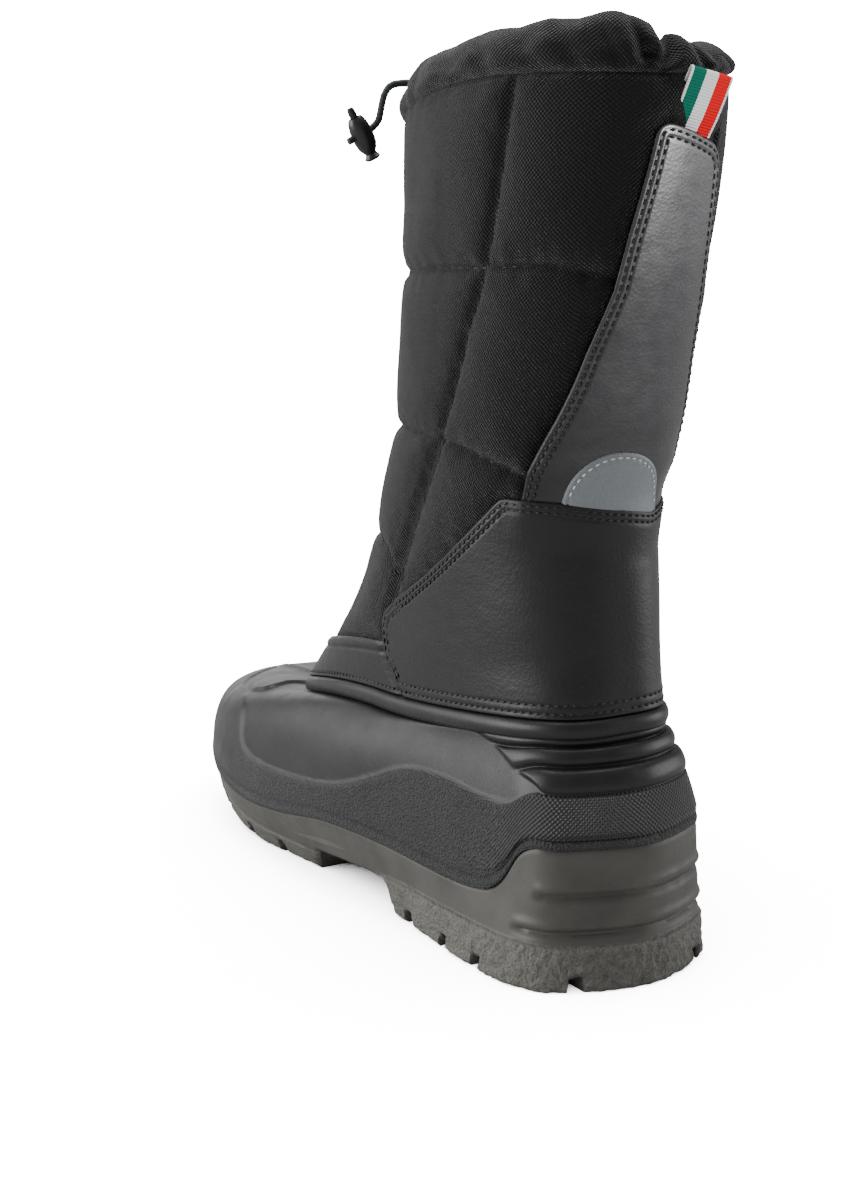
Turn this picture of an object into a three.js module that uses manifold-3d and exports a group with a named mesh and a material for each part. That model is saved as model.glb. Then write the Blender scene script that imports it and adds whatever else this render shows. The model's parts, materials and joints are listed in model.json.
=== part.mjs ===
// Pull-on snow boot for the right foot: a quilted textile shaft on a moulded rubber foot shell
// and a lugged rubber outsole. Millimetres, +Z up, toe towards +Y, the wearer's right at +X.
import * as THREE from 'three';
import { mergeVertices } from 'three/addons/utils/BufferGeometryUtils.js';
import Module from 'manifold-3d';

const wasm = await Module();
wasm.setup();

// ---- Driving sizes ---------------------------------------------------------------------------
const SOLE_LENGTH = 300;      // heel to toe over the outsole
const BALL_WIDTH = 116;       // across the outsole's top edge at the ball
const SHAFT_HEIGHT = 297;     // floor to the seam under the collar, at the back
const GAP = 0.3;              // clearance between two pieces that touch
const AROUND = 60;            // points in every loop round the boot; an even number
const CROWDING = 0.35;        // how much closer those points stand at heel and toe, 0 to 1

// The tables are drawn at a sample size and graded to the driving sizes, as a pattern maker does.
const SAMPLE = { length: 300, width: 116, height: 297 };
const LENGTH_GRADE = SOLE_LENGTH / SAMPLE.length;
const WIDTH_GRADE = BALL_WIDTH / SAMPLE.width;
const HEIGHT_GRADE = SHAFT_HEIGHT / SAMPLE.height;

const SOLE = {
  lip: 4, draft: 0.5, archTop: 14, archDrop: 4, heelFront: 101, heelDraft: 3, ballBack: 163,
  ballDraft: 7, footInset: 1,
};
const TREAD = { slope: 0.38, start: 222, blend: 15, flat: 0.9 };
const LUGS = {
  depth: 5, groove: 5.5, draft: 0.8, heelRows: [43, 64, 90], ballRows: [187, 212, 237, 261],
  channel: 7, channels: [[30, 102], [162, 275]],
};
const HEEL_NOTCH = { x: 25, width: 5, length: 26, depth: 6 };
const SHELL = { wall: 3, floor: 3, flange: 2, flangeTop: 0.07, bead: 7, beadProud: 3.4 };
const RIBS = { proud: 2.2, end: 0.145, fade: 0.02 };
const UPPER = { wall: 5, hem: 2.4, hemTop: 0.08 };
const INSOLE = { thick: 5, clearance: 1.3 };
const PANEL = { gap: 0.45, thick: 1.3, seam: 0.252, foot: 0.006, vampTop: 0.145, split: 0.002 };
const STRIP_EDGES = { lift: 0.003, cornerDrop: 0.008 };
const REFLECTOR = { centre: 0.012, half: 0.062, height: 0.098, lift: 0.006, end: 0.2, thick: 0.7 };
const COLLAR = { halfThick: 4.8, centre: -3.4, square: 2.6 };
const LOOP = {
  width: 14, height: 17.8, ribbon: 1, slot: 1.2, lean: 0.23, recline: 0.23, foot: [3.6, -13.2, 280.2],
};
const CORD_RADIUS = 1.3;
const LOCK = {
  centre: [-45, 109, 283], lean: 27, radius: 3.8, bore: 2.75, stem: 2.45, nub: 1.4, travel: 2,
};
const STEM = { low: -3.3, high: 4.7 };

// ---- Tables: one row for each section from heel to toe -----------------------------------------
// tread: the outline that stands on the floor. edge: the outsole's top edge, with its height Z.
// full: how square the shell's side is, 1 straight and 3 boxy.
const FOOT = table(
  ['treadY', 'treadIn', 'treadOut', 'edgeY', 'edgeIn', 'edgeOut', 'edgeZ', 'full'],
  [
    [0, 0, 0, 1, 0, 0, 49, 1.3],
    [9, 29.5, 26.2, 10, 28, 25.2, 49, 1.3],
    [24, 40.5, 36.5, 21, 36.5, 32.4, 47.5, 1.35],
    [48, 43.4, 40.4, 40, 41.5, 38.6, 29.5, 1.45],
    [100, 42, 43, 100, 48.5, 49.5, 29.5, 1.7],
    [135, 41.5, 45.5, 135, 54.5, 56, 29.5, 1.9],
    [171, 44.5, 52, 171, 56.5, 59.5, 23.5, 2.1],
    [204, 49.5, 54.5, 204, 57, 59, 20.5, 2.3],
    [234, 50, 51, 235, 54.5, 54, 22.5, 2.5],
    [261, 44, 42, 264, 44.8, 43, 27.5, 2.75],
    [282, 31, 26, 287.5, 27.8, 25.5, 33.5, 3],
    [295, 6, -6, 297.5, 6, -6, 37, 3.1],
  ],
);

// One row for each ring of the shaft, from the shell's rim up to the seam under the collar.
const SHAFT = table(
  ['backY', 'frontY', 'inner', 'outer', 'backZ', 'sideZ', 'frontZ', 'egg', 'backSquare', 'frontSquare'],
  [
    [16, 214.5, 37.5, 33.4, 90.5, 83, 65, 0.03, 3.2, 2.7],
    [17, 196.5, 38.5, 34.2, 105, 98, 81, 0.02, 2.8, 2.6],
    [18, 178, 39.5, 34.6, 121, 115, 99, 0.01, 2.6, 2.5],
    [19, 158.5, 40.5, 34.9, 138, 135, 121, 0, 2.4, 2.4],
    [19.5, 141.5, 41.5, 35.4, 157, 156, 146, 0, 2.3, 2.3],
    [15, 130, 42, 38.4, 180, 180, 172, 0, 2.25, 2.2],
    [6.5, 123, 42.5, 41.3, 205, 205, 200, 0, 2.2, 2.2],
    [-2, 119.5, 43.5, 43.3, 236, 236, 230, 0, 2.2, 2.2],
    [-8.5, 118.5, 44, 43.8, 266, 266, 259, 0, 2.2, 2.2],
    [-14, 119, 44.5, 44.3, 297, 297, 287, 0, 2.2, 2.2],
  ],
);

// Rubber between floor and foot bed, evenly spaced from heel to toe.
const BED = table(['thick'], [[23], [23], [22.5], [21], [18], [15], [13], [12], [9], [4.5]]);

// Rows up the shell's side: v is the place between the outsole and the bead, rib how proud it is.
const SHELL_ROWS = table(
  ['v', 'rib'],
  [[0, 0], [0.12, 0], [0.24, 0], [0.36, 0], [0.47, 0], [0.545, 1], [0.62, 0.1], [0.73, 1],
    [0.85, 0.1], [1, 0]],
);

// The gathered collar, evenly spaced round from the back: its height, and how far it leans in.
const CREST = table(
  ['height', 'lean'],
  [[9, 5.6], [15.5, 3.5], [14, 3], [12.8, 3.2], [11.4, 4], [10.5, 5], [10.2, 6], [10.6, 6],
    [11, 6], [11.3, 6], [11.5, 5.5], [11.5, 5], [11, 5], [10, 5.5], [8.5, 6.8], [6.8, 8.6],
    [9, 5.6]],
);

// Top edge of the heel panel: t goes round from the back, h is the height on the shaft.
const HEEL_PANEL_TOP = table(
  ['t', 'h'],
  [[-0.26, 0.19], [-0.25, 0.23], [-0.235, 0.288], [-0.19, 0.383], [-0.15, 0.45], [-0.05, 0.433],
    [0.027, 0.453], [0.075, 0.462], [0.15, 0.464], [0.19, 0.385], [0.235, 0.288], [0.25, 0.23],
    [0.26, 0.19]],
);

// The back strip: its middle and half width round the shaft, row by row up to its top edge.
const STRIP = table(
  ['h', 'middle', 'half'],
  [[0.44, 0, 0.122], [0.52, 0.002, 0.108], [0.6, -0.006, 0.094], [0.69, -0.013, 0.081],
    [0.76, -0.018, 0.066], [0.82, -0.019, 0.059], [0.88, -0.022, 0.052], [0.93, -0.024, 0.046]],
);

// ---- Small helpers -----------------------------------------------------------------------------
function table(columns, rows) {
  return rows.map((row) => Object.fromEntries(columns.map((name, i) => [name, row[i]])));
}

const clamp = (value, low, high) => Math.min(Math.max(value, low), high);

// A smooth curve through one column of a table; t runs from 0 at the first row to 1 at the last.
function column(rows, name, t) {
  const last = rows.length - 1;
  const at = clamp(t, 0, 1) * last;
  const i = Math.min(Math.floor(at), last - 1);
  const f = at - i;
  const [a, b, c, d] = [i - 1, i, i + 1, i + 2].map((k) => rows[clamp(k, 0, last)][name]);
  return b + 0.5 * f * (c - a + f * (2 * a - 5 * b + 4 * c - d + f * (3 * (b - c) + d - a)));
}

// Straight-line lookup in a table: the value of one column where the key column reaches at.
function lookup(rows, key, name, at) {
  const reached = rows.findIndex((row) => row[key] >= at);
  const i = reached < 0 ? rows.length - 1 : Math.max(reached, 1);
  const [low, high] = [rows[i - 1], rows[i]];
  return THREE.MathUtils.mapLinear(at, low[key], high[key], low[name], high[name]);
}

// A closed plan outline from the In and Out columns: heel, inner side, toe, outer side.
function outline(prefix) {
  const side = (row, sign, name) => new THREE.Vector3(
    sign * row[prefix + name] * WIDTH_GRADE, row[`${prefix}Y`] * LENGTH_GRADE, 0);
  const inner = FOOT.map((row) => side(row, -1, 'In'));
  const outer = FOOT.slice(1, -1).reverse().map((row) => side(row, 1, 'Out'));
  return new THREE.CatmullRomCurve3([...inner, ...outer], true, 'catmullrom', 0.5);
}

const treadOutline = outline('tread');
const edgeOutline = outline('edge');

// Outward direction in plan of any closed loop function at t.
function planNormal(loop, t) {
  const step = 0.002;
  const along = loop((t + step) % 1).sub(loop((t - step + 1) % 1));
  return new THREE.Vector3(-along.y, along.x, 0).normalize();
}

// How far from heel (0) to toe (1) a loop position t lies; the loop goes out and comes back.
const heelToToe = (t) => 1 - Math.abs(1 - 2 * t);

// A loop of points, set closer together round the heel and the toe, where the outline turns.
function ring(at) {
  return Array.from({ length: AROUND }, (_, i) => {
    const even = i / AROUND;
    return at(even - CROWDING / (4 * Math.PI) * Math.sin(4 * Math.PI * even));
  });
}

function quad(faces, a, b, c, d) {
  faces.push(a, b, c, a, c, d);
}

// Join loops in order into one closed body. A capped body starts and ends with a flat lid of
// cross strips; an open one is a tube whose last loop joins its first.
function skin(rings, capped) {
  const count = rings[0].length;
  const positions = rings.flat().flatMap((p) => [p.x, p.y, p.z]);
  const faces = [];
  const joins = capped ? rings.length - 1 : rings.length;
  for (let k = 0; k < joins; k += 1) {
    const low = k * count;
    const high = ((k + 1) % rings.length) * count;
    for (let i = 0; i < count; i += 1) {
      const next = (i + 1) % count;
      quad(faces, low + i, high + i, high + next, low + next);
    }
  }
  if (capped) {
    const top = (rings.length - 1) * count;
    for (let i = 0; i < count / 2; i += 1) {
      const [near, far] = [i, i + 1];
      const [nearBack, farBack] = [(count - near) % count, count - far];
      if (near !== nearBack) {
        faces.push(near, far, nearBack, top + near, top + nearBack, top + far);
      }
      if (far !== farBack) {
        faces.push(far, farBack, nearBack, top + far, top + nearBack, top + farBack);
      }
    }
  }
  const geometry = new THREE.BufferGeometry();
  geometry.setAttribute('position', new THREE.Float32BufferAttribute(positions, 3));
  geometry.setIndex(faces);
  return geometry;
}

// ---- Heights of the sole -----------------------------------------------------------------------
// The tread is flat under the heel and the ball and sweeps up to the toe.
function treadHeight(y) {
  const s = y - TREAD.start * LENGTH_GRADE;
  return Math.max(0, TREAD.slope / 2 * (s + Math.hypot(s, TREAD.blend)) - TREAD.flat);
}

// The foot bed is deep at the heel and thin at the toe.
function bedHeight(y) {
  return treadHeight(y) + column(BED, 'thick', y / SOLE_LENGTH);
}

const edgeHeight = (t) => column(FOOT, 'edgeZ', heelToToe(t)) * HEIGHT_GRADE;

// ---- The forms that the pieces share -------------------------------------------------------------
// Point of a plan outline at t, moved outwards by out, at height z (a number or a function of y).
function plan(curve, t, out, z) {
  const point = curve.getPoint(t);
  point.addScaledVector(planNormal((s) => curve.getPoint(s), t), out);
  point.z = typeof z === 'function' ? z(point.y) : z;
  return point;
}

const signedPower = (value, power) => Math.sign(value) * Math.abs(value) ** power;

// The shaft's outer face: t goes round from the back, h goes up from 0 at the rim to 1.
function shaftFace(t, h) {
  const get = (name) => column(SHAFT, name, h);
  const angle = 2 * Math.PI * t;
  const [sine, cosine] = [Math.sin(angle), Math.cos(angle)];
  const turn = (1 - cosine) / 2;
  const power = 2 / (get('backSquare') * (1 - turn) + get('frontSquare') * turn);
  const middle = (get('backY') + get('frontY')) / 2;
  const reach = (get('frontY') - get('backY')) / 2;
  const tilt = (get('frontZ') - get('backZ')) / 2;
  const bow = (get('frontZ') + get('backZ')) / 2 - get('sideZ');
  const half = sine > 0 ? get('inner') : get('outer');
  return new THREE.Vector3(
    -half * (1 - get('egg') * cosine) * signedPower(sine, power) * WIDTH_GRADE,
    (middle - reach * signedPower(cosine, power)) * LENGTH_GRADE,
    (get('sideZ') - tilt * cosine + bow * cosine * cosine) * HEIGHT_GRADE,
  );
}

// A point off the shaft's face by out millimetres, kept at the height of its own ring.
function shaftPoint(t, h, out) {
  const step = 0.004;
  const round = shaftFace(t + step, h).sub(shaftFace(t - step, h));
  const up = shaftFace(t, Math.min(h + step, 1)).sub(shaftFace(t, Math.max(h - step, 0)));
  const square = up.cross(round).normalize();
  const level = new THREE.Vector3(square.x, square.y, 0);
  const lean = Math.max(level.length(), 0.4);
  return shaftFace(t, h).addScaledVector(level.normalize(), out / lean);
}

// The rim is the lowest shaft ring, moved out in plan and up.
function rimPoint(t, out, up) {
  const rim = (s) => shaftFace(s, 0);
  const point = rim(t).addScaledVector(planNormal(rim, t), out);
  point.z += up;
  return point;
}

// The shell's outer face: v goes up from 0 on the outsole's edge to 1 under the rim's bead.
function shellFace(t, v) {
  const low = plan(edgeOutline, t, 0, edgeHeight(t) + GAP);
  const high = rimPoint(t, 0, -SHELL.bead);
  const power = 2 / column(FOOT, 'full', heelToToe(t));
  const inwards = 1 - Math.cos(v * Math.PI / 2) ** power;
  const upwards = Math.sin(v * Math.PI / 2) ** power;
  return new THREE.Vector3(
    low.x + (high.x - low.x) * inwards,
    low.y + (high.y - low.y) * inwards,
    low.z + (high.z - low.z) * upwards,
  );
}

function shellPoint(t, v, out) {
  const step = 0.003;
  const round = shellFace((t + step) % 1, v).sub(shellFace((t - step + 1) % 1, v));
  const up = shellFace(t, Math.min(v + step, 1)).sub(shellFace(t, Math.max(v - step, 0)));
  return shellFace(t, v).addScaledVector(up.cross(round).normalize(), out);
}

const steps = (from, to, count) => (
  Array.from({ length: count + 1 }, (_, i) => from + (to - from) * i / count));

// ---- Solids ------------------------------------------------------------------------------------
// A thin closed sheet that lies on the shaft. place turns (s, w), each 0 to 1, into [t, h].
function sheet(acrossStops, upStops, place, inner, outer) {
  const [columns, rows] = [acrossStops.length, upStops.length];
  const layer = (out) => upStops.flatMap((w) => acrossStops.flatMap((s) => {
    const [t, h] = place(s, w);
    return shaftPoint(t, h, out).toArray();
  }));
  const positions = [...layer(inner), ...layer(outer)];
  const under = (row, col) => row * columns + col;
  const over = (row, col) => (rows + row) * columns + col;
  const [top, end] = [rows - 1, columns - 1];
  const faces = [];
  for (let row = 0; row < top; row += 1) {
    const up = row + 1;
    for (let col = 0; col < end; col += 1) {
      const next = col + 1;
      quad(faces, under(row, col), under(row, next), under(up, next), under(up, col));
      quad(faces, over(row, col), over(up, col), over(up, next), over(row, next));
    }
    quad(faces, under(row, 0), under(up, 0), over(up, 0), over(row, 0));
    quad(faces, under(row, end), over(row, end), over(up, end), under(up, end));
  }
  for (let col = 0; col < end; col += 1) {
    const next = col + 1;
    quad(faces, under(0, col), over(0, col), over(0, next), under(0, next));
    quad(faces, under(top, col), under(top, next), over(top, next), over(top, col));
  }
  const geometry = new THREE.BufferGeometry();
  geometry.setAttribute('position', new THREE.Float32BufferAttribute(positions, 3));
  geometry.setIndex(faces);
  return geometry;
}

function toManifold(geometry) {
  const bare = new THREE.BufferGeometry();
  bare.setAttribute('position', geometry.getAttribute('position').clone());
  bare.setIndex(geometry.index);
  const whole = mergeVertices(bare, 1e-4);
  return new wasm.Manifold(new wasm.Mesh({
    numProp: 3,
    vertProperties: new Float32Array(whole.getAttribute('position').array),
    triVerts: new Uint32Array(whole.index.array),
  }));
}

function cut(geometry, cutters) {
  const whole = toManifold(geometry);
  const solid = cutters.reduce((rest, cutter) => rest.subtract(toManifold(cutter)), whole);
  const mesh = solid.getMesh();
  const result = new THREE.BufferGeometry();
  result.setAttribute('position', new THREE.Float32BufferAttribute(mesh.vertProperties, 3));
  result.setIndex([...mesh.triVerts]);
  return result;
}

// A shape drawn in side view (y, z) and given a width across the boot.
function across(shape, width) {
  const options = { depth: width, bevelEnabled: false, curveSegments: 8 };
  const geometry = new THREE.ExtrudeGeometry(shape, options).translate(0, 0, -width / 2);
  return geometry.applyMatrix4(new THREE.Matrix4().makeBasis(
    new THREE.Vector3(0, 1, 0), new THREE.Vector3(0, 0, 1), new THREE.Vector3(1, 0, 0)));
}

// A prism across the boot from a side-view profile of [y, z] corners, anticlockwise.
function prism(corners, width, x = 0) {
  const shape = new THREE.Shape(corners.map(([y, z]) => new THREE.Vector2(y, z)));
  return across(shape, width).translate(x, 0, 0);
}

// ---- Pieces ------------------------------------------------------------------------------------
// Grooves that part the lugs: a row right across at each place, and one channel along the middle.
function lugCutters() {
  const wide = 2 * BALL_WIDTH;
  const below = -5;
  const behind = -3;
  const rows = [...LUGS.heelRows, ...LUGS.ballRows].map((y) => {
    const [back, front] = [y - LUGS.groove / 2, y + LUGS.groove / 2];
    const roof = (at) => treadHeight(at) + LUGS.depth;
    return prism([
      [back, below], [front, below],
      [front - LUGS.draft, roof(front)], [back + LUGS.draft, roof(back)],
    ], wide);
  });
  const channel = ([from, to]) => {
    const roof = steps(to, from, 8).map((y) => [y, treadHeight(y) + LUGS.depth - 1]);
    return prism([[from, below], [to, below], ...roof], LUGS.channel);
  };
  const notches = [-1, 1].map((side) => prism([
    [behind, below], [HEEL_NOTCH.length, below],
    [HEEL_NOTCH.length, 1], [behind, HEEL_NOTCH.depth + 1],
  ], HEEL_NOTCH.width, side * HEEL_NOTCH.x));
  const arch = prism([
    [SOLE.heelFront, below], [SOLE.ballBack, below],
    [SOLE.ballBack - SOLE.ballDraft, SOLE.archTop - SOLE.archDrop],
    [SOLE.heelFront + SOLE.heelDraft, SOLE.archTop],
  ], wide);
  return [arch, ...rows, ...LUGS.channels.map(channel), ...notches];
}

function outsole() {
  const wall = (t, f, out) => {
    const low = plan(treadOutline, t, 0, treadHeight);
    const high = plan(edgeOutline, t, 0, edgeHeight(t));
    return low.lerp(high, f).addScaledVector(planNormal((s) => edgeOutline.getPoint(s), t), out);
  };
  const body = skin([
    ring((t) => wall(t, 0, -SOLE.footInset)),
    ring((t) => wall(t, 0.05, 0.3)),
    ring((t) => wall(t, 0.45, 0.6)),
    ring((t) => wall(t, 0.55, 0)),
    ring((t) => wall(t, 1, 0)),
    ring((t) => plan(edgeOutline, t, -SOLE.lip, edgeHeight(t))),
    ring((t) => plan(edgeOutline, t, -SOLE.lip - SOLE.draft, bedHeight)),
  ], true);
  return cut(body, lugCutters());
}

// 1 round the heel, falling to 0 where the heel ribs end.
function ribReach(t) {
  const away = Math.min(t, 1 - t);
  return 1 - THREE.MathUtils.smoothstep(away, RIBS.end - RIBS.fade, RIBS.end);
}

function shell() {
  const outer = SHELL_ROWS.map(({ v, rib }) => (
    ring((t) => shellPoint(t, v, rib * RIBS.proud * ribReach(t)))));
  const inner = steps(1, 0.12, 5).map((v) => ring((t) => shellPoint(t, v, -SHELL.wall)));
  const inset = -SOLE.lip - SOLE.draft - GAP;
  const seat = -UPPER.hem - GAP;
  return skin([
    ring((t) => plan(edgeOutline, t, inset, (y) => bedHeight(y) + GAP)),
    ring((t) => plan(edgeOutline, t, -SOLE.lip - GAP, edgeHeight(t) + GAP)),
    ...outer,
    ring((t) => rimPoint(t, SHELL.beadProud, -SHELL.bead + 1.5)),
    ring((t) => rimPoint(t, SHELL.beadProud, -1.5)),
    ring((t) => rimPoint(t, SHELL.beadProud - 1.5, 0)),
    ...[[0, 0], [SHELL.flangeTop, 0], [SHELL.flangeTop, SHELL.flange], [0, SHELL.flange]].map(
      ([h, inwards]) => ring((t) => shaftPoint(t, h, seat - inwards))),
    ...inner,
    ring((t) => plan(edgeOutline, t, inset - SHELL.wall, (y) => bedHeight(y) + GAP + SHELL.floor)),
  ], true);
}

function insole() {
  const inset = -SOLE.lip - SOLE.draft - GAP - SHELL.wall - INSOLE.clearance;
  const low = (y) => bedHeight(y) + 2 * GAP + SHELL.floor;
  return skin([
    ring((t) => plan(edgeOutline, t, inset, low)),
    ring((t) => plan(edgeOutline, t, inset, (y) => low(y) + INSOLE.thick)),
  ], true);
}

function upper() {
  const outer = steps(0, 1, 13).map((h) => ring((t) => shaftPoint(t, h, 0)));
  const inner = steps(1, UPPER.hemTop, 6).map((h) => ring((t) => shaftPoint(t, h, -UPPER.wall)));
  const hemRing = (out) => ring((t) => shaftPoint(t, 0, out).setZ(shaftFace(t, 0).z + GAP));
  return skin([
    hemRing(0),
    ...outer.slice(1),
    ...inner,
    ring((t) => shaftPoint(t, UPPER.hemTop, -UPPER.hem)),
    hemRing(-UPPER.hem),
  ], false);
}

const panelTop = (t) => lookup(HEEL_PANEL_TOP, 't', 'h', t);
const blend = THREE.MathUtils.lerp;

function heelPanel() {
  return sheet(steps(0, 1, 30), steps(0, 1, 4), (s, w) => {
    const t = blend(-PANEL.seam, PANEL.seam, s);
    return [t, blend(PANEL.foot, panelTop(t), w)];
  }, PANEL.gap, PANEL.gap + PANEL.thick);
}

function vampPanel() {
  const seam = PANEL.seam + PANEL.split;
  return sheet(steps(0, 1, 30), steps(0, 1, 2), (s, w) => (
    [blend(seam, 1 - seam, s), blend(PANEL.foot, PANEL.vampTop, w)]
  ), PANEL.gap, PANEL.gap + PANEL.thick);
}

// The strip stands just above the heel panel and narrows to a top edge with dropped corners.
function stripPlace(s, w) {
  const side = 2 * s - 1;
  const bottom = panelTop(STRIP[0].middle + side * STRIP[0].half) + STRIP_EDGES.lift;
  const top = STRIP.at(-1).h - STRIP_EDGES.cornerDrop * side * side;
  const h = blend(bottom, top, w);
  return [lookup(STRIP, 'h', 'middle', h) + side * lookup(STRIP, 'h', 'half', h), h];
}

function backStrip() {
  return sheet(steps(0, 1, 14), steps(0, 1, 10), stripPlace, PANEL.gap, PANEL.gap + PANEL.thick);
}

function reflector() {
  const low = PANEL.gap + PANEL.thick + GAP;
  return sheet(steps(-1, 1, 12), steps(0, 1, 3), (s, w) => {
    const t = REFLECTOR.centre + s * REFLECTOR.half;
    const arch = Math.sqrt(1 - (1 - REFLECTOR.end ** 2) * s * s);
    return [t, panelTop(t) + REFLECTOR.lift + REFLECTOR.height * arch * w];
  }, low, low + REFLECTOR.thick);
}

function collar() {
  const power = 2 / COLLAR.square;
  return skin(steps(-90, 230, 8).map((degrees) => {
    const angle = THREE.MathUtils.degToRad(degrees);
    const out = COLLAR.centre + COLLAR.halfThick * signedPower(Math.cos(angle), power);
    const rise = (1 + signedPower(Math.sin(angle), power)) / 2;
    return ring((t) => {
      const point = shaftPoint(t, 1, out - rise * column(CREST, 'lean', t));
      return point.setZ(shaftFace(t, 1).z + GAP + rise * column(CREST, 'height', t));
    });
  }), false);
}

// A ribbon folded over on itself, its fold at the top and its two ends side by side below.
function pullLoop() {
  const { height, ribbon, slot, width } = LOOP;
  const outer = slot / 2 + ribbon;
  const shape = new THREE.Shape();
  shape.moveTo(-outer, 0);
  shape.lineTo(-slot / 2, 0);
  shape.lineTo(-slot / 2, height - outer);
  shape.absarc(0, height - outer, slot / 2, Math.PI, 0, true);
  shape.lineTo(slot / 2, 0);
  shape.lineTo(outer, 0);
  shape.lineTo(outer, height - outer);
  shape.absarc(0, height - outer, outer, 0, Math.PI, false);
  return across(shape, width);
}

// The cord's free end: out of the collar's eyelet, down, and through the lock.
const CORD_ROUTE = [
  [-28.2, 109.6, 300.6], [-32, 110, 299.7], [-35.3, 109.8, 296.6], [-37, 109.4, 292],
  [-38.4, 109, 287.8], [-41.2, 109, 284.95], [-45, 109, 283], [-50.2, 109, 280.35],
];

function circle(radius, sides) {
  return new THREE.Shape(Array.from({ length: sides }, (_, i) => {
    const angle = 2 * Math.PI * i / sides;
    return new THREE.Vector2(radius * Math.cos(angle), radius * Math.sin(angle));
  }));
}

function drawcord() {
  const route = new THREE.CatmullRomCurve3(CORD_ROUTE.map((point) => new THREE.Vector3(...point)));
  return new THREE.ExtrudeGeometry(circle(CORD_RADIUS, 8), { extrudePath: route, steps: 24 });
}

function lathe(profile) {
  const points = profile.map(([radius, height]) => new THREE.Vector2(radius, height));
  return new THREE.LatheGeometry(points, 16).rotateX(Math.PI / 2);
}

// The lock is drawn upright round its own axis, with the cord crossing it along X at height 0.
function lockBody() {
  const { radius, bore, nub, travel } = LOCK;
  const hole = CORD_RADIUS + GAP;
  const cordHole = new THREE.CylinderGeometry(hole, hole, 20, 16).rotateZ(Math.PI / 2);
  const floor = STEM.low - GAP - travel;
  const body = lathe([
    [0, -9.5], [2.6, -9.5], [2.9, -8.6], [1.9, -7.4], [3, -5.6], [radius, -2.5], [radius, 2],
    [3.2, 4.8], [2.3, 6], [nub + GAP, 6], [nub + GAP, STEM.high + GAP], [bore, STEM.high + GAP],
    [bore, floor], [0, floor],
  ]);
  return cut(body, [cordHole]);
}

function lockPlunger() {
  const { stem, nub, travel } = LOCK;
  const body = lathe([
    [0, STEM.low], [stem, STEM.low], [stem, STEM.high], [nub, STEM.high], [nub, 8.2], [1.1, 9.6],
    [0, 9.6],
  ]);
  const half = CORD_RADIUS + GAP;
  const slot = new THREE.BoxGeometry(20, 2 * half, 2 * half + travel).translate(0, 0, travel / 2);
  return cut(body, [slot]);
}

// ---- Assembly ----------------------------------------------------------------------------------
const FINISHES = {
  soleRubber: { color: 0x6b645a, roughness: 0.75, metalness: 0 },
  shellRubber: { color: 0x1b1c1e, roughness: 0.35, metalness: 0 },
  quilt: { color: 0x1a1b1d, roughness: 0.9, metalness: 0 },
  coatedLeather: { color: 0x202124, roughness: 0.5, metalness: 0 },
  reflective: { color: 0x8d959b, roughness: 0.4, metalness: 0.1 },
  ribbon: { color: 0xe8e8e6, roughness: 0.8, metalness: 0 },
  cord: { color: 0x15171a, roughness: 0.8, metalness: 0 },
  plastic: { color: 0x222325, roughness: 0.45, metalness: 0 },
  felt: { color: 0x4a4a4c, roughness: 0.95, metalness: 0 },
};

const boot = new THREE.Group();

function add(name, geometry, finish, parent = boot) {
  geometry.computeVertexNormals();
  const mesh = new THREE.Mesh(geometry, new THREE.MeshStandardMaterial(FINISHES[finish]));
  mesh.name = name;
  parent.add(mesh);
  return mesh;
}

add('outsole', outsole(), 'soleRubber');
add('shell', shell(), 'shellRubber');
add('insole', insole(), 'felt');
add('upper', upper(), 'quilt');
add('heel_panel', heelPanel(), 'coatedLeather');
add('vamp_panel', vampPanel(), 'coatedLeather');
add('back_strip', backStrip(), 'coatedLeather');
add('reflector', reflector(), 'reflective');
add('collar', collar(), 'quilt');
add('drawcord', drawcord(), 'cord');

const loop = add('pull_loop', pullLoop(), 'ribbon');
loop.position.set(...LOOP.foot);
loop.rotation.set(LOOP.recline, LOOP.lean, 0);

const lock = new THREE.Group();
lock.position.set(...LOCK.centre);
lock.rotation.y = -THREE.MathUtils.degToRad(LOCK.lean);
add('cord_lock_body', lockBody(), 'plastic', lock);
add('cord_lock_plunger', lockPlunger(), 'plastic', lock);
boot.add(lock);

// The origin is the middle of the whole boot's plan, on the floor.
const box = new THREE.Box3().setFromObject(boot);
const middle = box.getCenter(new THREE.Vector3());
boot.position.set(-middle.x, -middle.y, -box.min.z);

export default boot;
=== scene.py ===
# %% [markdown]
# # A quilted snow boot
# This notebook dresses a measured boot for its portrait. The measured model gives the places and
# sizes; every soft or moulded skin is then made again here with its seams, ribs and stitches.
# Forms are worked out in millimetres with the heel tip at y = 0, as a last maker would, and moved
# into the model's own frame in metres when a mesh is made.

# %% Load the measured boot
import json
import math

import bmesh
import bpy
import numpy as np
from mathutils import Matrix, Vector, kdtree, noise

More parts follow.
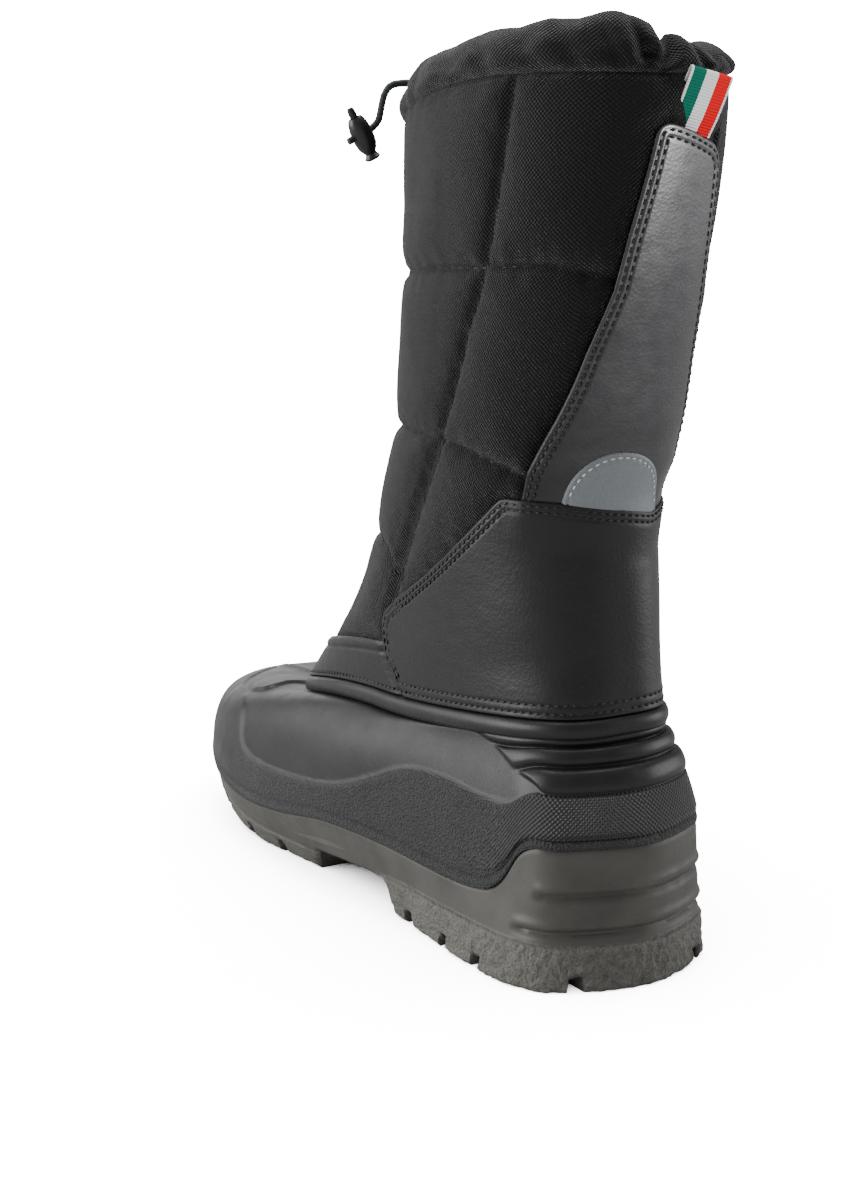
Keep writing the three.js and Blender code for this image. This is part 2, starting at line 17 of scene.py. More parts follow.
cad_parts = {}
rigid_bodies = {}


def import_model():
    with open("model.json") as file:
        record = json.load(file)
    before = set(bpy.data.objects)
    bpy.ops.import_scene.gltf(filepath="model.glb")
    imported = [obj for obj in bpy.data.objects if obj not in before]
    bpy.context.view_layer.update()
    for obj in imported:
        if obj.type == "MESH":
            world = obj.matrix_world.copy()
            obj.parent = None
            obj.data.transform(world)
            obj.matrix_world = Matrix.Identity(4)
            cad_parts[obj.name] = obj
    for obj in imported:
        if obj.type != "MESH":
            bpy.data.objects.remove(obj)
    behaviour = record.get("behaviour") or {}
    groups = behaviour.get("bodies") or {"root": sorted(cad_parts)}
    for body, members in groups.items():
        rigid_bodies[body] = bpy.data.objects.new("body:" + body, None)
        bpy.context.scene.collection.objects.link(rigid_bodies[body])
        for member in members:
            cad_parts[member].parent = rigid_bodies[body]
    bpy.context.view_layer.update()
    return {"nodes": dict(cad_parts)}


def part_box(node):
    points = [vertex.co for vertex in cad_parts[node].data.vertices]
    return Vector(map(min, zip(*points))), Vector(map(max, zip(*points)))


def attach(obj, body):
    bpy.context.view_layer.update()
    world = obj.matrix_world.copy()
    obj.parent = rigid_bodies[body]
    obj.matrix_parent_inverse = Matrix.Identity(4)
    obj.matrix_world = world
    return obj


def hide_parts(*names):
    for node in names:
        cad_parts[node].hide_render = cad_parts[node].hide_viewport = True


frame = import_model()
MM = 0.001
print("nodes:", ", ".join(sorted(frame["nodes"])))

# %% [markdown]
# ## The camera
# A camera could be aimed with a constraint, but a boot's picture depends on a small roll as well,
# so its three directions are worked out from a turn, a tilt down and a roll.

# %% Set up the camera
CAMERA = {"place": (-0.35328, -0.62499, 0.2555), "turn": 0.504, "down": 0.202, "roll": -0.018}
LENS = 56.5


def make_camera(place, turn, down, roll):
    forward = Vector((
        math.sin(turn) * math.cos(down), math.cos(turn) * math.cos(down), -math.sin(down)))
    right = Vector((math.cos(turn), -math.sin(turn), 0))
    up = right.cross(forward)
    tipped_right = math.cos(roll) * right + math.sin(roll) * up
    tipped_up = math.cos(roll) * up - math.sin(roll) * right
    camera = bpy.data.objects.new("camera", bpy.data.cameras.new("camera"))
    camera.data.lens = LENS
    camera.data.clip_start = 0.01
    turned = Matrix((tipped_right, tipped_up, -forward)).transposed().to_4x4()
    camera.matrix_world = Matrix.Translation(place) @ turned
    bpy.context.collection.objects.link(camera)
    bpy.context.scene.camera = camera


make_camera(**CAMERA)
print("camera at", CAMERA["place"])

# %% [markdown]
# ## The last: tables and curves
# A boot's form is a family of loops round the foot and leg. Each table below has a row for each
# section, and a smooth curve runs through each column. t goes round the boot from the middle of
# the back, along the inner side, to the toe at 0.5 and back along the outer side.

# %% Tables of sections


def table(columns, rows):
    """The columns of a table, each by its name."""
    return {name: np.array([row[i] for row in rows], float) for i, name in enumerate(columns)}


FOOT = table(
    ["treadY", "treadIn", "treadOut", "edgeY", "edgeIn", "edgeOut", "edgeZ", "full"],
    [
        [0, 0, 0, 1, 0, 0, 49, 1.3],
        [9, 29.5, 26.2, 10, 28, 25.2, 49, 1.3],
        [24, 40.5, 36.5, 21, 36.5, 32.4, 47.5, 1.35],
        [48, 43.4, 40.4, 40, 41.5, 38.6, 29.5, 1.45],
        [100, 42, 43, 100, 48.5, 49.5, 29.5, 1.7],
        [135, 41.5, 45.5, 135, 54.5, 56, 29.5, 1.9],
        [171, 44.5, 52, 171, 56.5, 59.5, 23.5, 2.1],
        [204, 49.5, 54.5, 204, 57, 59, 20.5, 2.3],
        [234, 50, 51, 235, 54.5, 54, 22.5, 2.5],
        [261, 44, 42, 264, 44.8, 43, 27.5, 2.75],
        [282, 31, 26, 287.5, 27.8, 25.5, 33.5, 3],
        [295, 6, -6, 297.5, 6, -6, 37, 3.1],
    ],
)
SHAFT = table(
    ["backY", "frontY", "inner", "outer", "backZ", "sideZ", "frontZ", "egg", "backSquare",
     "frontSquare"],
    [
        [16, 214.5, 37.5, 33.4, 90.5, 83, 65, 0.03, 3.2, 2.7],
        [17, 196.5, 38.5, 34.2, 105, 98, 81, 0.02, 2.8, 2.6],
        [18, 178, 39.5, 34.6, 121, 115, 99, 0.01, 2.6, 2.5],
        [19, 158.5, 40.5, 34.9, 138, 135, 121, 0, 2.4, 2.4],
        [19.5, 141.5, 41.5, 35.4, 157, 156, 146, 0, 2.3, 2.3],
        [15, 130, 42, 38.4, 180, 180, 172, 0, 2.25, 2.2],
        [6.5, 123, 42.5, 41.3, 205, 205, 200, 0, 2.2, 2.2],
        [-2, 119.5, 43.5, 43.3, 236, 236, 230, 0, 2.2, 2.2],
        [-8.5, 118.5, 44, 43.8, 266, 266, 259, 0, 2.2, 2.2],
        [-14, 119, 44.5, 44.3, 297, 297, 287, 0, 2.2, 2.2],
    ],
)
BED = [23, 23, 22.5, 21, 18, 15, 13, 12, 9, 4.5]
SOLE_LENGTH = 300
GAP = 0.3
SOLE_LIP = 4.5
SHELL_WALL = 3
BEAD_HEIGHT = 7
print("sections:", len(FOOT["edgeY"]), "of the foot and", len(SHAFT["inner"]), "of the shaft")

# %% Smooth curves through the tables


def column(values, t):
    """A smooth curve through evenly spaced values, for t from 0 to 1."""
    values = np.asarray(values, float)
    last = len(values) - 1
    at = np.clip(t, 0, 1) * last
    i = np.minimum(at.astype(int), last - 1)
    f = at - i
    a, b, c, d = (values[np.clip(i + k, 0, last)] for k in (-1, 0, 1, 2))
    return b + 0.5 * f * (c - a + f * (2 * a - 5 * b + 4 * c - d + f * (3 * (b - c) + d - a)))


def outline(prefix):
    """A closed plan outline: heel, inner side, toe, outer side."""
    y, inner, outer = (FOOT[prefix + part] for part in ("Y", "In", "Out"))
    spots = np.column_stack([
        np.concatenate([-inner, outer[-2:0:-1]]), np.concatenate([y, y[-2:0:-1]])])
    count = len(spots)

    def at(t):
        p = (np.asarray(t) % 1) * count
        i = np.floor(p).astype(int)
        f = (p - i)[:, None]
        a, b, c, d = (spots[(i + k) % count] for k in (-1, 0, 1, 2))
        return b + 0.5 * f * (c - a + f * (2 * a - 5 * b + 4 * c - d + f * (3 * (b - c) + d - a)))

    return at


tread_outline = outline("tread")
edge_outline = outline("edge")


def plan_normal(loop, t):
    """Which way is outwards, in plan, from a closed loop."""
    along = loop(t + 0.002)[:, :2] - loop(t - 0.002)[:, :2]
    across = np.column_stack([-along[:, 1], along[:, 0]])
    return across / np.linalg.norm(across, axis=1)[:, None]


def tread_height(y):
    """The tread lies flat and springs up smoothly towards the toe."""
    s = y - 222
    return np.maximum(0, 0.19 * (s + np.hypot(s, 15)) - 0.9)


def edge_height(t):
    """How high the sole's upper edge stands round the boot."""
    return column(FOOT["edgeZ"], 1 - np.abs(1 - 2 * (t % 1)))


def bed_height(y):
    """The top of the sole inside its edge, which the shell's floor lies on."""
    return tread_height(y) + column(BED, y / SOLE_LENGTH)


def plan(loop, t, out, z):
    """Points beside a plan outline at height z, a number for each t or a function of y."""
    flat = loop(t) + plan_normal(loop, t) * np.reshape(out, (-1, 1))
    height = z(flat[:, 1]) if callable(z) else z
    return np.column_stack([flat, np.broadcast_to(height, t.shape)])


print("edge of the sole at the toe:", edge_outline(np.array([0.5]))[0].round(1).tolist())

# %% The shaft's face


def signed_power(value, power):
    """A power that keeps the sign, for rings between an ellipse and a rounded box."""
    return np.sign(value) * np.abs(value) ** power


def shaft_face(t, h):
    """The bare face of the shaft; h climbs from the shell's rim at 0 to the collar at 1."""
    get = {name: column(values, h) for name, values in SHAFT.items()}
    sine, cosine = np.sin(2 * np.pi * t), np.cos(2 * np.pi * t)
    turn = (1 - cosine) / 2
    power = 2 / (get["backSquare"] * (1 - turn) + get["frontSquare"] * turn)
    middle, reach = (get["backY"] + get["frontY"]) / 2, (get["frontY"] - get["backY"]) / 2
    tilt = (get["frontZ"] - get["backZ"]) / 2
    bow = (get["frontZ"] + get["backZ"]) / 2 - get["sideZ"]
    half = np.where(sine > 0, get["inner"], get["outer"])
    return np.column_stack([
        -half * (1 - get["egg"] * cosine) * signed_power(sine, power),
        middle - reach * signed_power(cosine, power),
        get["sideZ"] - tilt * cosine + bow * cosine * cosine,
    ])


def shaft_point(t, h, out):
    """A point off the shaft's face by out millimetres, kept level with its own ring."""
    t, h = np.broadcast_arrays(np.asarray(t, float), np.asarray(h, float))
    step = 0.004
    around = shaft_face(t + step, h) - shaft_face(t - step, h)
    up = shaft_face(t, np.minimum(h + step, 1)) - shaft_face(t, np.maximum(h - step, 0))
    square = np.cross(up, around)
    square /= np.linalg.norm(square, axis=1)[:, None]
    lean = np.linalg.norm(square[:, :2], axis=1)
    level = np.column_stack([square[:, :2] / lean[:, None], np.zeros(len(lean))])
    return shaft_face(t, h) + level * (out / np.maximum(lean, 0.4))[:, None]


def on_face(t, h):
    """Points on the bare face of the shaft."""
    return shaft_point(t, h, np.zeros(len(t)))


def rim(t):
    """The rim of the shell, where the shaft's face begins."""
    return shaft_face(t, np.zeros_like(t))


def rim_point(t, out, up):
    point = rim(t)
    point[:, :2] += plan_normal(rim, t) * np.reshape(out, (-1, 1))
    point[:, 2] += up
    return point


# %% The shell's face


def shell_face(t, v):
    """The bare outer face of the shell; v climbs from the sole at 0 to the rim's bead at 1."""
    low = plan(edge_outline, t, 0, edge_height(t) + GAP)
    high = rim_point(t, 0, -BEAD_HEIGHT)
    power = 2 / column(FOOT["full"], 1 - np.abs(1 - 2 * (t % 1)))
    inwards = 1 - np.abs(np.cos(v * np.pi / 2)) ** power
    upwards = np.sin(v * np.pi / 2) ** power
    mix = np.column_stack([inwards, inwards, upwards])
    return low + (high - low) * mix


def shell_point(t, v, out):
    """A point off the shell's outer face by out millimetres, square to it."""
    t, v = np.broadcast_arrays(np.asarray(t, float), np.asarray(v, float))
    step = 0.003
    around = shell_face(t + step, v) - shell_face(t - step, v)
    up = shell_face(t, np.minimum(v + step, 1)) - shell_face(t, np.maximum(v - step, 0))
    square = np.cross(up, around)
    square /= np.maximum(np.linalg.norm(square, axis=1), 1e-9)[:, None]
    return shell_face(t, v) + square * np.reshape(out, (-1, 1))


def on_shell(t, v):
    """Points on the bare outer face of the shell."""
    return shell_point(t, v, np.zeros(len(t)))


print("back of the rim:", rim(np.zeros(1))[0].round(1).tolist())


# %% From the last's millimetres to the model's metres
even = np.linspace(0, 1, 2000, endpoint=False)
own = np.vstack([edge_outline(even), tread_outline(even)])
sole_low, sole_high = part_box("outsole")
SHIFT = np.array([
    (sole_low[0] + sole_high[0]) / 2 - (own[:, 0].min() + own[:, 0].max()) / 2 * MM,
    sole_low[1] - own[:, 1].min() * MM,
    0,
])


def to_frame(points):
    return np.asarray(points) * MM + SHIFT


print("the last stands at", SHIFT.round(5).tolist())

# %% [markdown]
# ## The drawcord's way
# The cord's free end leaves the collar, hangs, and runs through its lock. Its route is settled
# before anything else, because everything on it is placed from it.

# %% Route of the drawcord
CORD_ROUTE = [
    (-25.2, 108, 300.4), (-32, 110, 299.7), (-35.3, 109.8, 296.6), (-37, 109.4, 292),
    (-38.4, 109, 287.8), (-41.2, 109, 284.95), (-45, 109, 283), (-50.2, 109, 280.35),
]
CORD_RADIUS = 1.3


def smooth_route(route, count):
    t = np.linspace(0, 1, count)
    return np.column_stack([column(axis, t) for axis in np.array(route, float).T])


cord_line = smooth_route(CORD_ROUTE, 60)
cord_length = float(np.linalg.norm(np.diff(cord_line, axis=0), axis=1).sum())
print(f"the free cord is {cord_length:.1f} mm long")

# %% [markdown]
# ## Tools for making pieces
# Almost every skin of the boot is a grid that is wrapped on to the last. Blender's grid operator
# makes the flat net, each corner is moved to its place, and the edges that meet are merged. A
# fine net is needed because the seams and ribs are real relief, not paint.

# %% Wrap a net
finishes = {}
pieces = []


def lengths_along(points):
    """Metres travelled along the first axis of a grid of points in millimetres."""
    steps = np.linalg.norm(np.diff(points, axis=0), axis=2)
    return np.concatenate([np.zeros((1, steps.shape[1])), np.cumsum(steps, axis=0)]) * MM


def wrap(round_stops, up_stops, place, level=0, row=None, flip=True):
    """A net with these stops round and up, moved by place(t, v) to points in millimetres.

    Its flat pattern is in metres: across by one row, the longest unless it is named, and up each
    column from row level, or simply by height where level is None.
    """
    round_stops, up_stops = np.asarray(round_stops, float), np.asarray(up_stops, float)
    columns, rows = len(round_stops), len(up_stops)
    net = bmesh.new()
    bmesh.ops.create_grid(net, x_segments=columns - 1, y_segments=rows - 1, size=0.5)
    flat = np.array([vert.co[:2] for vert in net.verts]) + 0.5
    column_of = np.rint(flat[:, 0] * (columns - 1)).astype(int)
    row_of = np.rint(flat[:, 1] * (rows - 1)).astype(int)
    made = place(round_stops[column_of], up_stops[row_of])
    points, marks = made if isinstance(made, tuple) else (made, {})
    spread = np.zeros((rows, columns, 3))
    spread[row_of, column_of] = points
    across = lengths_along(spread.transpose(1, 0, 2))
    across = across[:, np.argmax(across[-1]) if row is None else row]
    upwards = lengths_along(spread)
    upwards = spread[:, :, 2] * MM if level is None else upwards - upwards[level]
    for vert, spot in zip(net.verts, to_frame(points)):
        vert.co = spot
    layers = {name: net.verts.layers.float.new(name) for name in marks}
    for name, values in marks.items():
        for vert, value in zip(net.verts, values):
            vert[layers[name]] = value
    weave = net.loops.layers.uv.new("weave")
    for face in net.faces:
        for loop in face.loops:
            i = loop.vert.index
            loop[weave].uv = (across[column_of[i]], upwards[row_of[i], column_of[i]])
    bmesh.ops.remove_doubles(net, verts=net.verts, dist=2e-6)
    bmesh.ops.dissolve_degenerate(net, edges=net.edges, dist=1e-7)
    if flip:
        bmesh.ops.reverse_faces(net, faces=net.faces)
    return net


# %% Finish a piece


def finish_piece(name, net, finish, body="boot", replaces=(), thickness=0, sharp=None):
    """Turn a bmesh into a named piece of the boot with its finish, body and wall."""
    mesh = bpy.data.meshes.new(name)
    net.to_mesh(mesh)
    net.free()
    mesh.shade_smooth()
    if sharp:
        mesh.set_sharp_from_angle(angle=math.radians(sharp))
    piece = bpy.data.objects.new(name, mesh)
    bpy.context.collection.objects.link(piece)
    piece.data.materials.append(finishes[finish])
    if thickness:
        wall = piece.modifiers.new("wall", "SOLIDIFY")
        wall.thickness = thickness * MM
        wall.offset = -1
    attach(piece, body)
    if replaces:
        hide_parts(*replaces)
    pieces.append(piece)
    print(f"{name}: {len(mesh.polygons)} faces")
    return piece


def close_up(net):
    """Face a closed body outwards."""
    bmesh.ops.recalc_face_normals(net, faces=net.faces)
    return net


# %% Stops, ripples and distances


def crowded(count, crowding=0.35):
    """Stops round the boot, closer together round heel and toe, where the outline turns."""
    step = np.linspace(0, 1, count + 1)
    return step - crowding / (4 * np.pi) * np.sin(4 * np.pi * step)


def from_back(t):
    """The same place round the boot, counted from -0.5 to 0.5 with 0 at the middle of the back."""
    return (t + 0.5) % 1 - 0.5


def ripple(points, size, seed=0):
    """Soft noise between -1 and 1 that changes over about size millimetres."""
    return np.array([noise.noise(Vector(p) / size + Vector((seed, 0, 0))) for p in points])


def distance_to(points, lines):
    """How far each point lies from the nearest of some lines, each a list of close points."""
    spots = np.vstack(lines)
    tree = kdtree.KDTree(len(spots))
    for i, spot in enumerate(spots):
        tree.insert(spot, i)
    tree.balance()
    return np.array([tree.find(point)[2] for point in points])


def ease(value, low, high):
    """0 below low, 1 above high and smooth between, or the other way round if low is more."""
    f = np.clip((value - low) / (high - low), 0, 1)
    return f * f * (3 - 2 * f)


def dent(distance, width):
    """1 on a line, falling smoothly to 0 a few widths away."""
    return np.exp(-(distance / width) ** 2)


# %% [markdown]
# ## Lines on the boot
# Seams are drawn on the last as a pattern cutter draws them: a few listed points, and a smooth
# line through them. The outer side has the mirror image of each line.

# %% Draw lines


def draw_line(path, count=240):
    """A smooth line through a few points drawn one by one."""
    t = np.linspace(0, 1, count)
    return column([p[0] for p in path], t), column([p[1] for p in path], t)


def both_sides(line):
    return [line, (1 - line[0], line[1])]


# %% Seams of the quilting and edges of the leather
QUILT = {
    "upright": [(0.169, 0.995), (0.18, 0.905), (0.193, 0.784), (0.214, 0.692), (0.232, 0.559)],
    "channel": [(0.232, 0.559), (0.251, 0.441), (0.261, 0.294), (0.257, 0.167), (0.255, 0.14)],
    "upper": [(0.5, 0.79), (0.4, 0.79), (0.3, 0.787), (0.193, 0.784), (0.12, 0.786), (0.04, 0.77)],
    "lower": [(0.5, 0.6), (0.39, 0.589), (0.3, 0.572), (0.232, 0.559), (0.175, 0.536), (0.1, 0.5)],
    "instep": [(0.5, 0.43), (0.4, 0.41), (0.299, 0.366), (0.257, 0.295)],
}
PANEL_TOP = [
    (-0.26, 0.19), (-0.25, 0.23), (-0.235, 0.288), (-0.186, 0.388), (-0.14, 0.462),
    (-0.05, 0.446), (0.02, 0.463), (0.068, 0.474), (0.134, 0.477), (0.182, 0.388),
    (0.235, 0.288), (0.25, 0.23), (0.26, 0.19),
]
PANEL = {
    "gap": 0.45, "thick": 1.3, "seam": 0.252, "slant": 0.114, "foot": 0.006, "vampTop": 0.145,
}
STRIP = table(
    ["h", "middle", "half"],
    [
        [0.44, -0.004, 0.123], [0.52, -0.001, 0.111], [0.6, -0.007, 0.096], [0.69, -0.013, 0.082],
        [0.76, -0.018, 0.066], [0.82, -0.019, 0.059], [0.88, -0.022, 0.052], [0.93, -0.024, 0.046],
    ],
)
STRIP_END = {"top": 0.928, "slope": 0.014, "flat": 0.56, "drop": 0.018}


def panel_top(t):
    """The top edge of the heel panel, with its corners a little rounded."""
    keys, heights = zip(*PANEL_TOP)
    before, here, after = (
        np.interp(from_back(t + shift), keys, heights) for shift in (-0.006, 0, 0.006))
    return (before + 2 * here + after) / 4


def seam_at(h):
    """The side seam leans forwards as it climbs."""
    return PANEL["seam"] + PANEL["slant"] * (np.clip(h, 0, 0.2) - 0.108)


def strip_place(s, w):
    """The back strip: s from 0 to 1 across it and w from 0 to 1 up it."""
    side = 2 * s - 1
    bottom = panel_top(STRIP["middle"][0] + side * STRIP["half"][0]) - 0.01
    corner = np.clip((np.abs(side) - STRIP_END["flat"]) / (1 - STRIP_END["flat"]), 0, 1)
    top = STRIP_END["top"] + STRIP_END["slope"] * side
    top -= STRIP_END["drop"] * (1 - np.sqrt(1 - 0.98 * corner ** 2))
    h = bottom + (top - bottom) * w
    middle = np.interp(h, STRIP["h"], STRIP["middle"])
    return middle + side * np.interp(h, STRIP["h"], STRIP["half"]), h


full_turn = np.linspace(0, 1, 600, endpoint=False)
run = np.linspace(0, 1, 300)
seam_t = np.linspace(-PANEL["seam"], PANEL["seam"], 500)
strip_edge = [strip_place(np.full(300, s), run) for s in (0.0, 1.0)]
strip_edge.append(strip_place(run, np.ones(300)))
panel_edge = [(seam_t * seam_at(panel_top(seam_t)) / PANEL["seam"], panel_top(seam_t))]
seam_h = np.linspace(0, panel_top(np.array([PANEL["seam"]]))[0], 60)
panel_seam = [(side * seam_at(seam_h), seam_h) for side in (-1, 1)]
vamp_edge = [(np.linspace(0.25, 0.75, 300), np.full(300, PANEL["vampTop"]))]


def far_from(base, lines):
    """How far points lie from lines that are drawn on the shaft."""
    return distance_to(base, [on_face(t, h) for t, h in lines])


print("seams drawn:", len(QUILT), "for the quilting")

# %% [markdown]
# ## Finishes
# Each finish is built from nodes. The colour of black goods changes little, so what tells cloth
# from leather and rubber is their roughness and bump. Fixed values such as sheen are set on the
# shader itself.

# %% Helpers for finishes


def new_finish(name, color, roughness, **settings):
    material = bpy.data.materials.new(name)
    material.use_nodes = True
    shader = material.node_tree.nodes["Principled BSDF"]
    shader.inputs["Base Color"].default_value = (*color, 1)
    shader.inputs["Roughness"].default_value = roughness
    for key, value in settings.items():
        socket = key.replace("_", " ").title().replace("Ior", "IOR")
        shader.inputs[socket].default_value = value
    finishes[name] = material
    return material


def add(material, kind, **settings):
    """A new node, with its own settings or its sockets' values by name."""
    node = material.node_tree.nodes.new(f"ShaderNode{kind}")
    for key, value in settings.items():
        if hasattr(node, key):
            setattr(node, key, value)
        else:
            node.inputs[key.replace("_", " ").title()].default_value = value
    return node


def join(material, start, end):
    material.node_tree.links.new(start, end)


def shader_of(material):
    return material.node_tree.nodes["Principled BSDF"]


# %% Sums and patterns


def sum_of(material, first, second, operation="ADD"):
    """Join two values or numbers by a sum, or by another operation."""
    node = add(material, "Math", operation=operation)
    for socket, value in zip(node.inputs, (first, second)):
        if isinstance(value, (int, float)):
            socket.default_value = value
        else:
            join(material, value, socket)
    return node.outputs[0]


def times(material, first, second):
    """A pattern times a number or another pattern."""
    return sum_of(material, first, second, "MULTIPLY")


def grain(material, size, detail=2.0, stretch=(1, 1, 1)):
    """Noise whose blotches are about size millimetres across."""
    where = add(material, "TexCoord")
    mapping = add(material, "Mapping")
    mapping.inputs["Scale"].default_value = stretch
    join(material, where.outputs["Object"], mapping.inputs["Vector"])
    blotches = add(material, "TexNoise", scale=1 / (size * MM), detail=detail)
    join(material, mapping.outputs["Vector"], blotches.inputs["Vector"])
    return blotches.outputs["Fac"]


# %% Colour, gloss and bumps


def tint(material, amount, dark, light):
    """Let a pattern between 0 and 1 carry the colour from dark to light."""
    ramp = add(material, "ValToRGB")
    ramp.color_ramp.elements[0].color = (*dark, 1)
    ramp.color_ramp.elements[1].color = (*light, 1)
    join(material, amount, ramp.inputs["Fac"])
    join(material, ramp.outputs["Color"], shader_of(material).inputs["Base Color"])


def set_roughness(material, amount, low, high):
    span = add(material, "MapRange")
    span.inputs["To Min"].default_value = low
    span.inputs["To Max"].default_value = high
    join(material, amount, span.inputs["Value"])
    join(material, span.outputs["Result"], shader_of(material).inputs["Roughness"])


def emboss(material, height, depth, strength=1.0):
    """Raise the surface by a pattern; depth is in millimetres."""
    bump = add(material, "Bump", strength=strength)
    bump.inputs["Distance"].default_value = depth * MM
    join(material, height, bump.inputs["Height"])
    shader = shader_of(material)
    before = shader.inputs["Normal"].links
    if before:
        join(material, before[0].from_socket, bump.inputs["Normal"])
    join(material, bump.outputs["Normal"], shader.inputs["Normal"])


def mark(material, name):
    """A place on the net that was marked when the piece was wrapped."""
    return add(material, "Attribute", attribute_name=name).outputs["Fac"]


def threads(material, pitch):
    """Crossing threads as rounded bumps, drawn on the piece's own flat pattern."""
    where = add(material, "TexCoord")
    mapping = add(material, "Mapping")
    scale = 2 * math.pi / (pitch * MM)
    mapping.inputs["Scale"].default_value = (scale, scale, scale)
    join(material, where.outputs["UV"], mapping.inputs["Vector"])
    split = add(material, "SeparateXYZ")
    join(material, mapping.outputs["Vector"], split.inputs[0])
    waves = []
    for axis in ("X", "Y"):
        wave = add(material, "Math", operation="SINE")
        join(material, split.outputs[axis], wave.inputs[0])
        waves.append(wave.outputs[0])
    return times(material, *waves)


# %% Cloth finishes
nylon = new_finish("quilted nylon", (0.011, 0.011, 0.0125), 0.8, sheen_weight=0.3,
                   sheen_roughness=0.35, specular_ior_level=0.3)
weave = threads(nylon, 1.45)
fleck = grain(nylon, 0.75, 3.0)
shade = sum_of(nylon, times(nylon, weave, 0.16), fleck)
tint(nylon, shade, (0.0006, 0.0006, 0.0007), (0.0125, 0.0125, 0.0133))
emboss(nylon, weave, 0.24)
emboss(nylon, fleck, 0.4, 0.9)
emboss(nylon, grain(nylon, 14), 0.8, 0.5)

fleece = new_finish("fleece lining", (0.035, 0.036, 0.038), 0.95, sheen_weight=0.4,
                    sheen_roughness=0.5)
curl = grain(fleece, 1.6, 4.0)
tint(fleece, curl, (0.015, 0.015, 0.016), (0.07, 0.07, 0.074))
emboss(fleece, curl, 0.9)

felt = new_finish("felt", (0.08, 0.08, 0.085), 0.95, sheen_weight=0.3, sheen_roughness=0.5)
tint(felt, grain(felt, 0.8, 5.0), (0.04, 0.04, 0.042), (0.13, 0.13, 0.137))
emboss(felt, grain(felt, 0.5, 3.0), 0.3)

cord_cloth = new_finish("braided cord", (0.011, 0.014, 0.017), 0.6, sheen_weight=0.2)
tint(cord_cloth, grain(cord_cloth, 0.5, 3.0), (0.004, 0.006, 0.008), (0.03, 0.036, 0.042))
emboss(cord_cloth, grain(cord_cloth, 0.35, 2.0), 0.1)

thread = new_finish("black thread", (0.004, 0.004, 0.0045), 0.5, sheen_weight=0.1)
tint(thread, grain(thread, 0.4), (0.002, 0.002, 0.0025), (0.012, 0.012, 0.013))
white_thread = new_finish("white thread", (0.8, 0.8, 0.78), 0.6, sheen_weight=0.1)
tint(white_thread, grain(white_thread, 0.5), (0.62, 0.62, 0.6), (0.86, 0.86, 0.84))

# %% Ribbon in three bands
RIBBON_WIDTH = 14.5
ribbon = new_finish("ribbon", (0.8, 0.8, 0.78), 0.8, specular_ior_level=0.2)
where = add(ribbon, "TexCoord")
split = add(ribbon, "SeparateXYZ")
join(ribbon, where.outputs["UV"], split.inputs[0])
WHITE = (0.95, 0.96, 0.95, 1)
BANDS = [
    (0.0, WHITE), (0.05, (0.0, 0.16, 0.105, 1)), (0.35, WHITE), (0.65, (0.9, 0.002, 0.01, 1)),
    (0.95, WHITE),
]
bands = add(ribbon, "ValToRGB")
bands.color_ramp.interpolation = "CONSTANT"
for i, (place, color) in enumerate(BANDS):
    stop = bands.color_ramp.elements[i] if i < 2 else bands.color_ramp.elements.new(place)
    stop.position = place
    stop.color = color
across = times(ribbon, split.outputs["X"], 1 / (RIBBON_WIDTH * MM))
join(ribbon, across, bands.inputs["Fac"])
join(ribbon, bands.outputs["Color"], shader_of(ribbon).inputs["Base Color"])
rib = add(ribbon, "Math", operation="SINE")
join(ribbon, times(ribbon, split.outputs["Y"], 2 * math.pi / (0.9 * MM)), rib.inputs[0])
emboss(ribbon, rib.outputs[0], 0.12)

# %% Leather, reflective cloth and plastic
leather = new_finish("coated leather", (0.007, 0.007, 0.008), 0.42, specular_ior_level=0.5)
pores = add(leather, "TexVoronoi", scale=900.0)
join(leather, add(leather, "TexCoord").outputs["Object"], pores.inputs["Vector"])
creases = grain(leather, 9, 6.0, stretch=(1, 1, 2.2))
tint(leather, creases, (0.004, 0.004, 0.0045), (0.009, 0.009, 0.01))
set_roughness(leather, grain(leather, 5, 4.0), 0.34, 0.54)
emboss(leather, pores.outputs["Distance"], 0.1, 0.5)
emboss(leather, grain(leather, 1.2, 3.0), 0.08, 0.5)
emboss(leather, creases, 0.22, 0.6)

silver = new_finish("reflective cloth", (0.27, 0.3, 0.33), 0.42, metallic=0.25)
tint(silver, grain(silver, 0.5, 2.0), (0.19, 0.21, 0.228), (0.32, 0.344, 0.364))
emboss(silver, threads(silver, 0.8), 0.03)

plastic = new_finish("black plastic", (0.018, 0.018, 0.02), 0.3)
set_roughness(plastic, grain(plastic, 2, 3.0), 0.22, 0.42)
emboss(plastic, grain(plastic, 0.6, 2.0), 0.04)

# %% [markdown]
# The rubber changes along the boot: smooth above, with a sandy grain and a fine crossed mesh
# moulded into the lower part. The net carries marks for those places, so one finish can follow
# them.

# %% Rubber finishes
shell_rubber = new_finish("shell rubber", (0.0105, 0.0105, 0.0115), 0.36,
                          specular_ior_level=0.45)
sand = grain(shell_rubber, 0.9, 3.0)
sandy = mark(shell_rubber, "sandy")
hatch = threads(shell_rubber, 1.7)
hatched = mark(shell_rubber, "hatched")
pale = sum_of(shell_rubber, sandy, hatched, "MAXIMUM")
clouds = times(shell_rubber, grain(shell_rubber, 12, 4.0), 0.4)
shade = sum_of(shell_rubber, clouds, times(shell_rubber, pale, 0.6))
tint(shell_rubber, shade, (0.0055, 0.0055, 0.0062), (0.045, 0.045, 0.0475))
smudges = grain(shell_rubber, 8, 5.0)
dull = sum_of(shell_rubber, smudges, times(shell_rubber, sandy, 0.5))
set_roughness(shell_rubber, dull, 0.27, 0.52)
emboss(shell_rubber, times(shell_rubber, sand, sandy), 2.0)
emboss(shell_rubber, times(shell_rubber, hatch, hatched), 0.3)
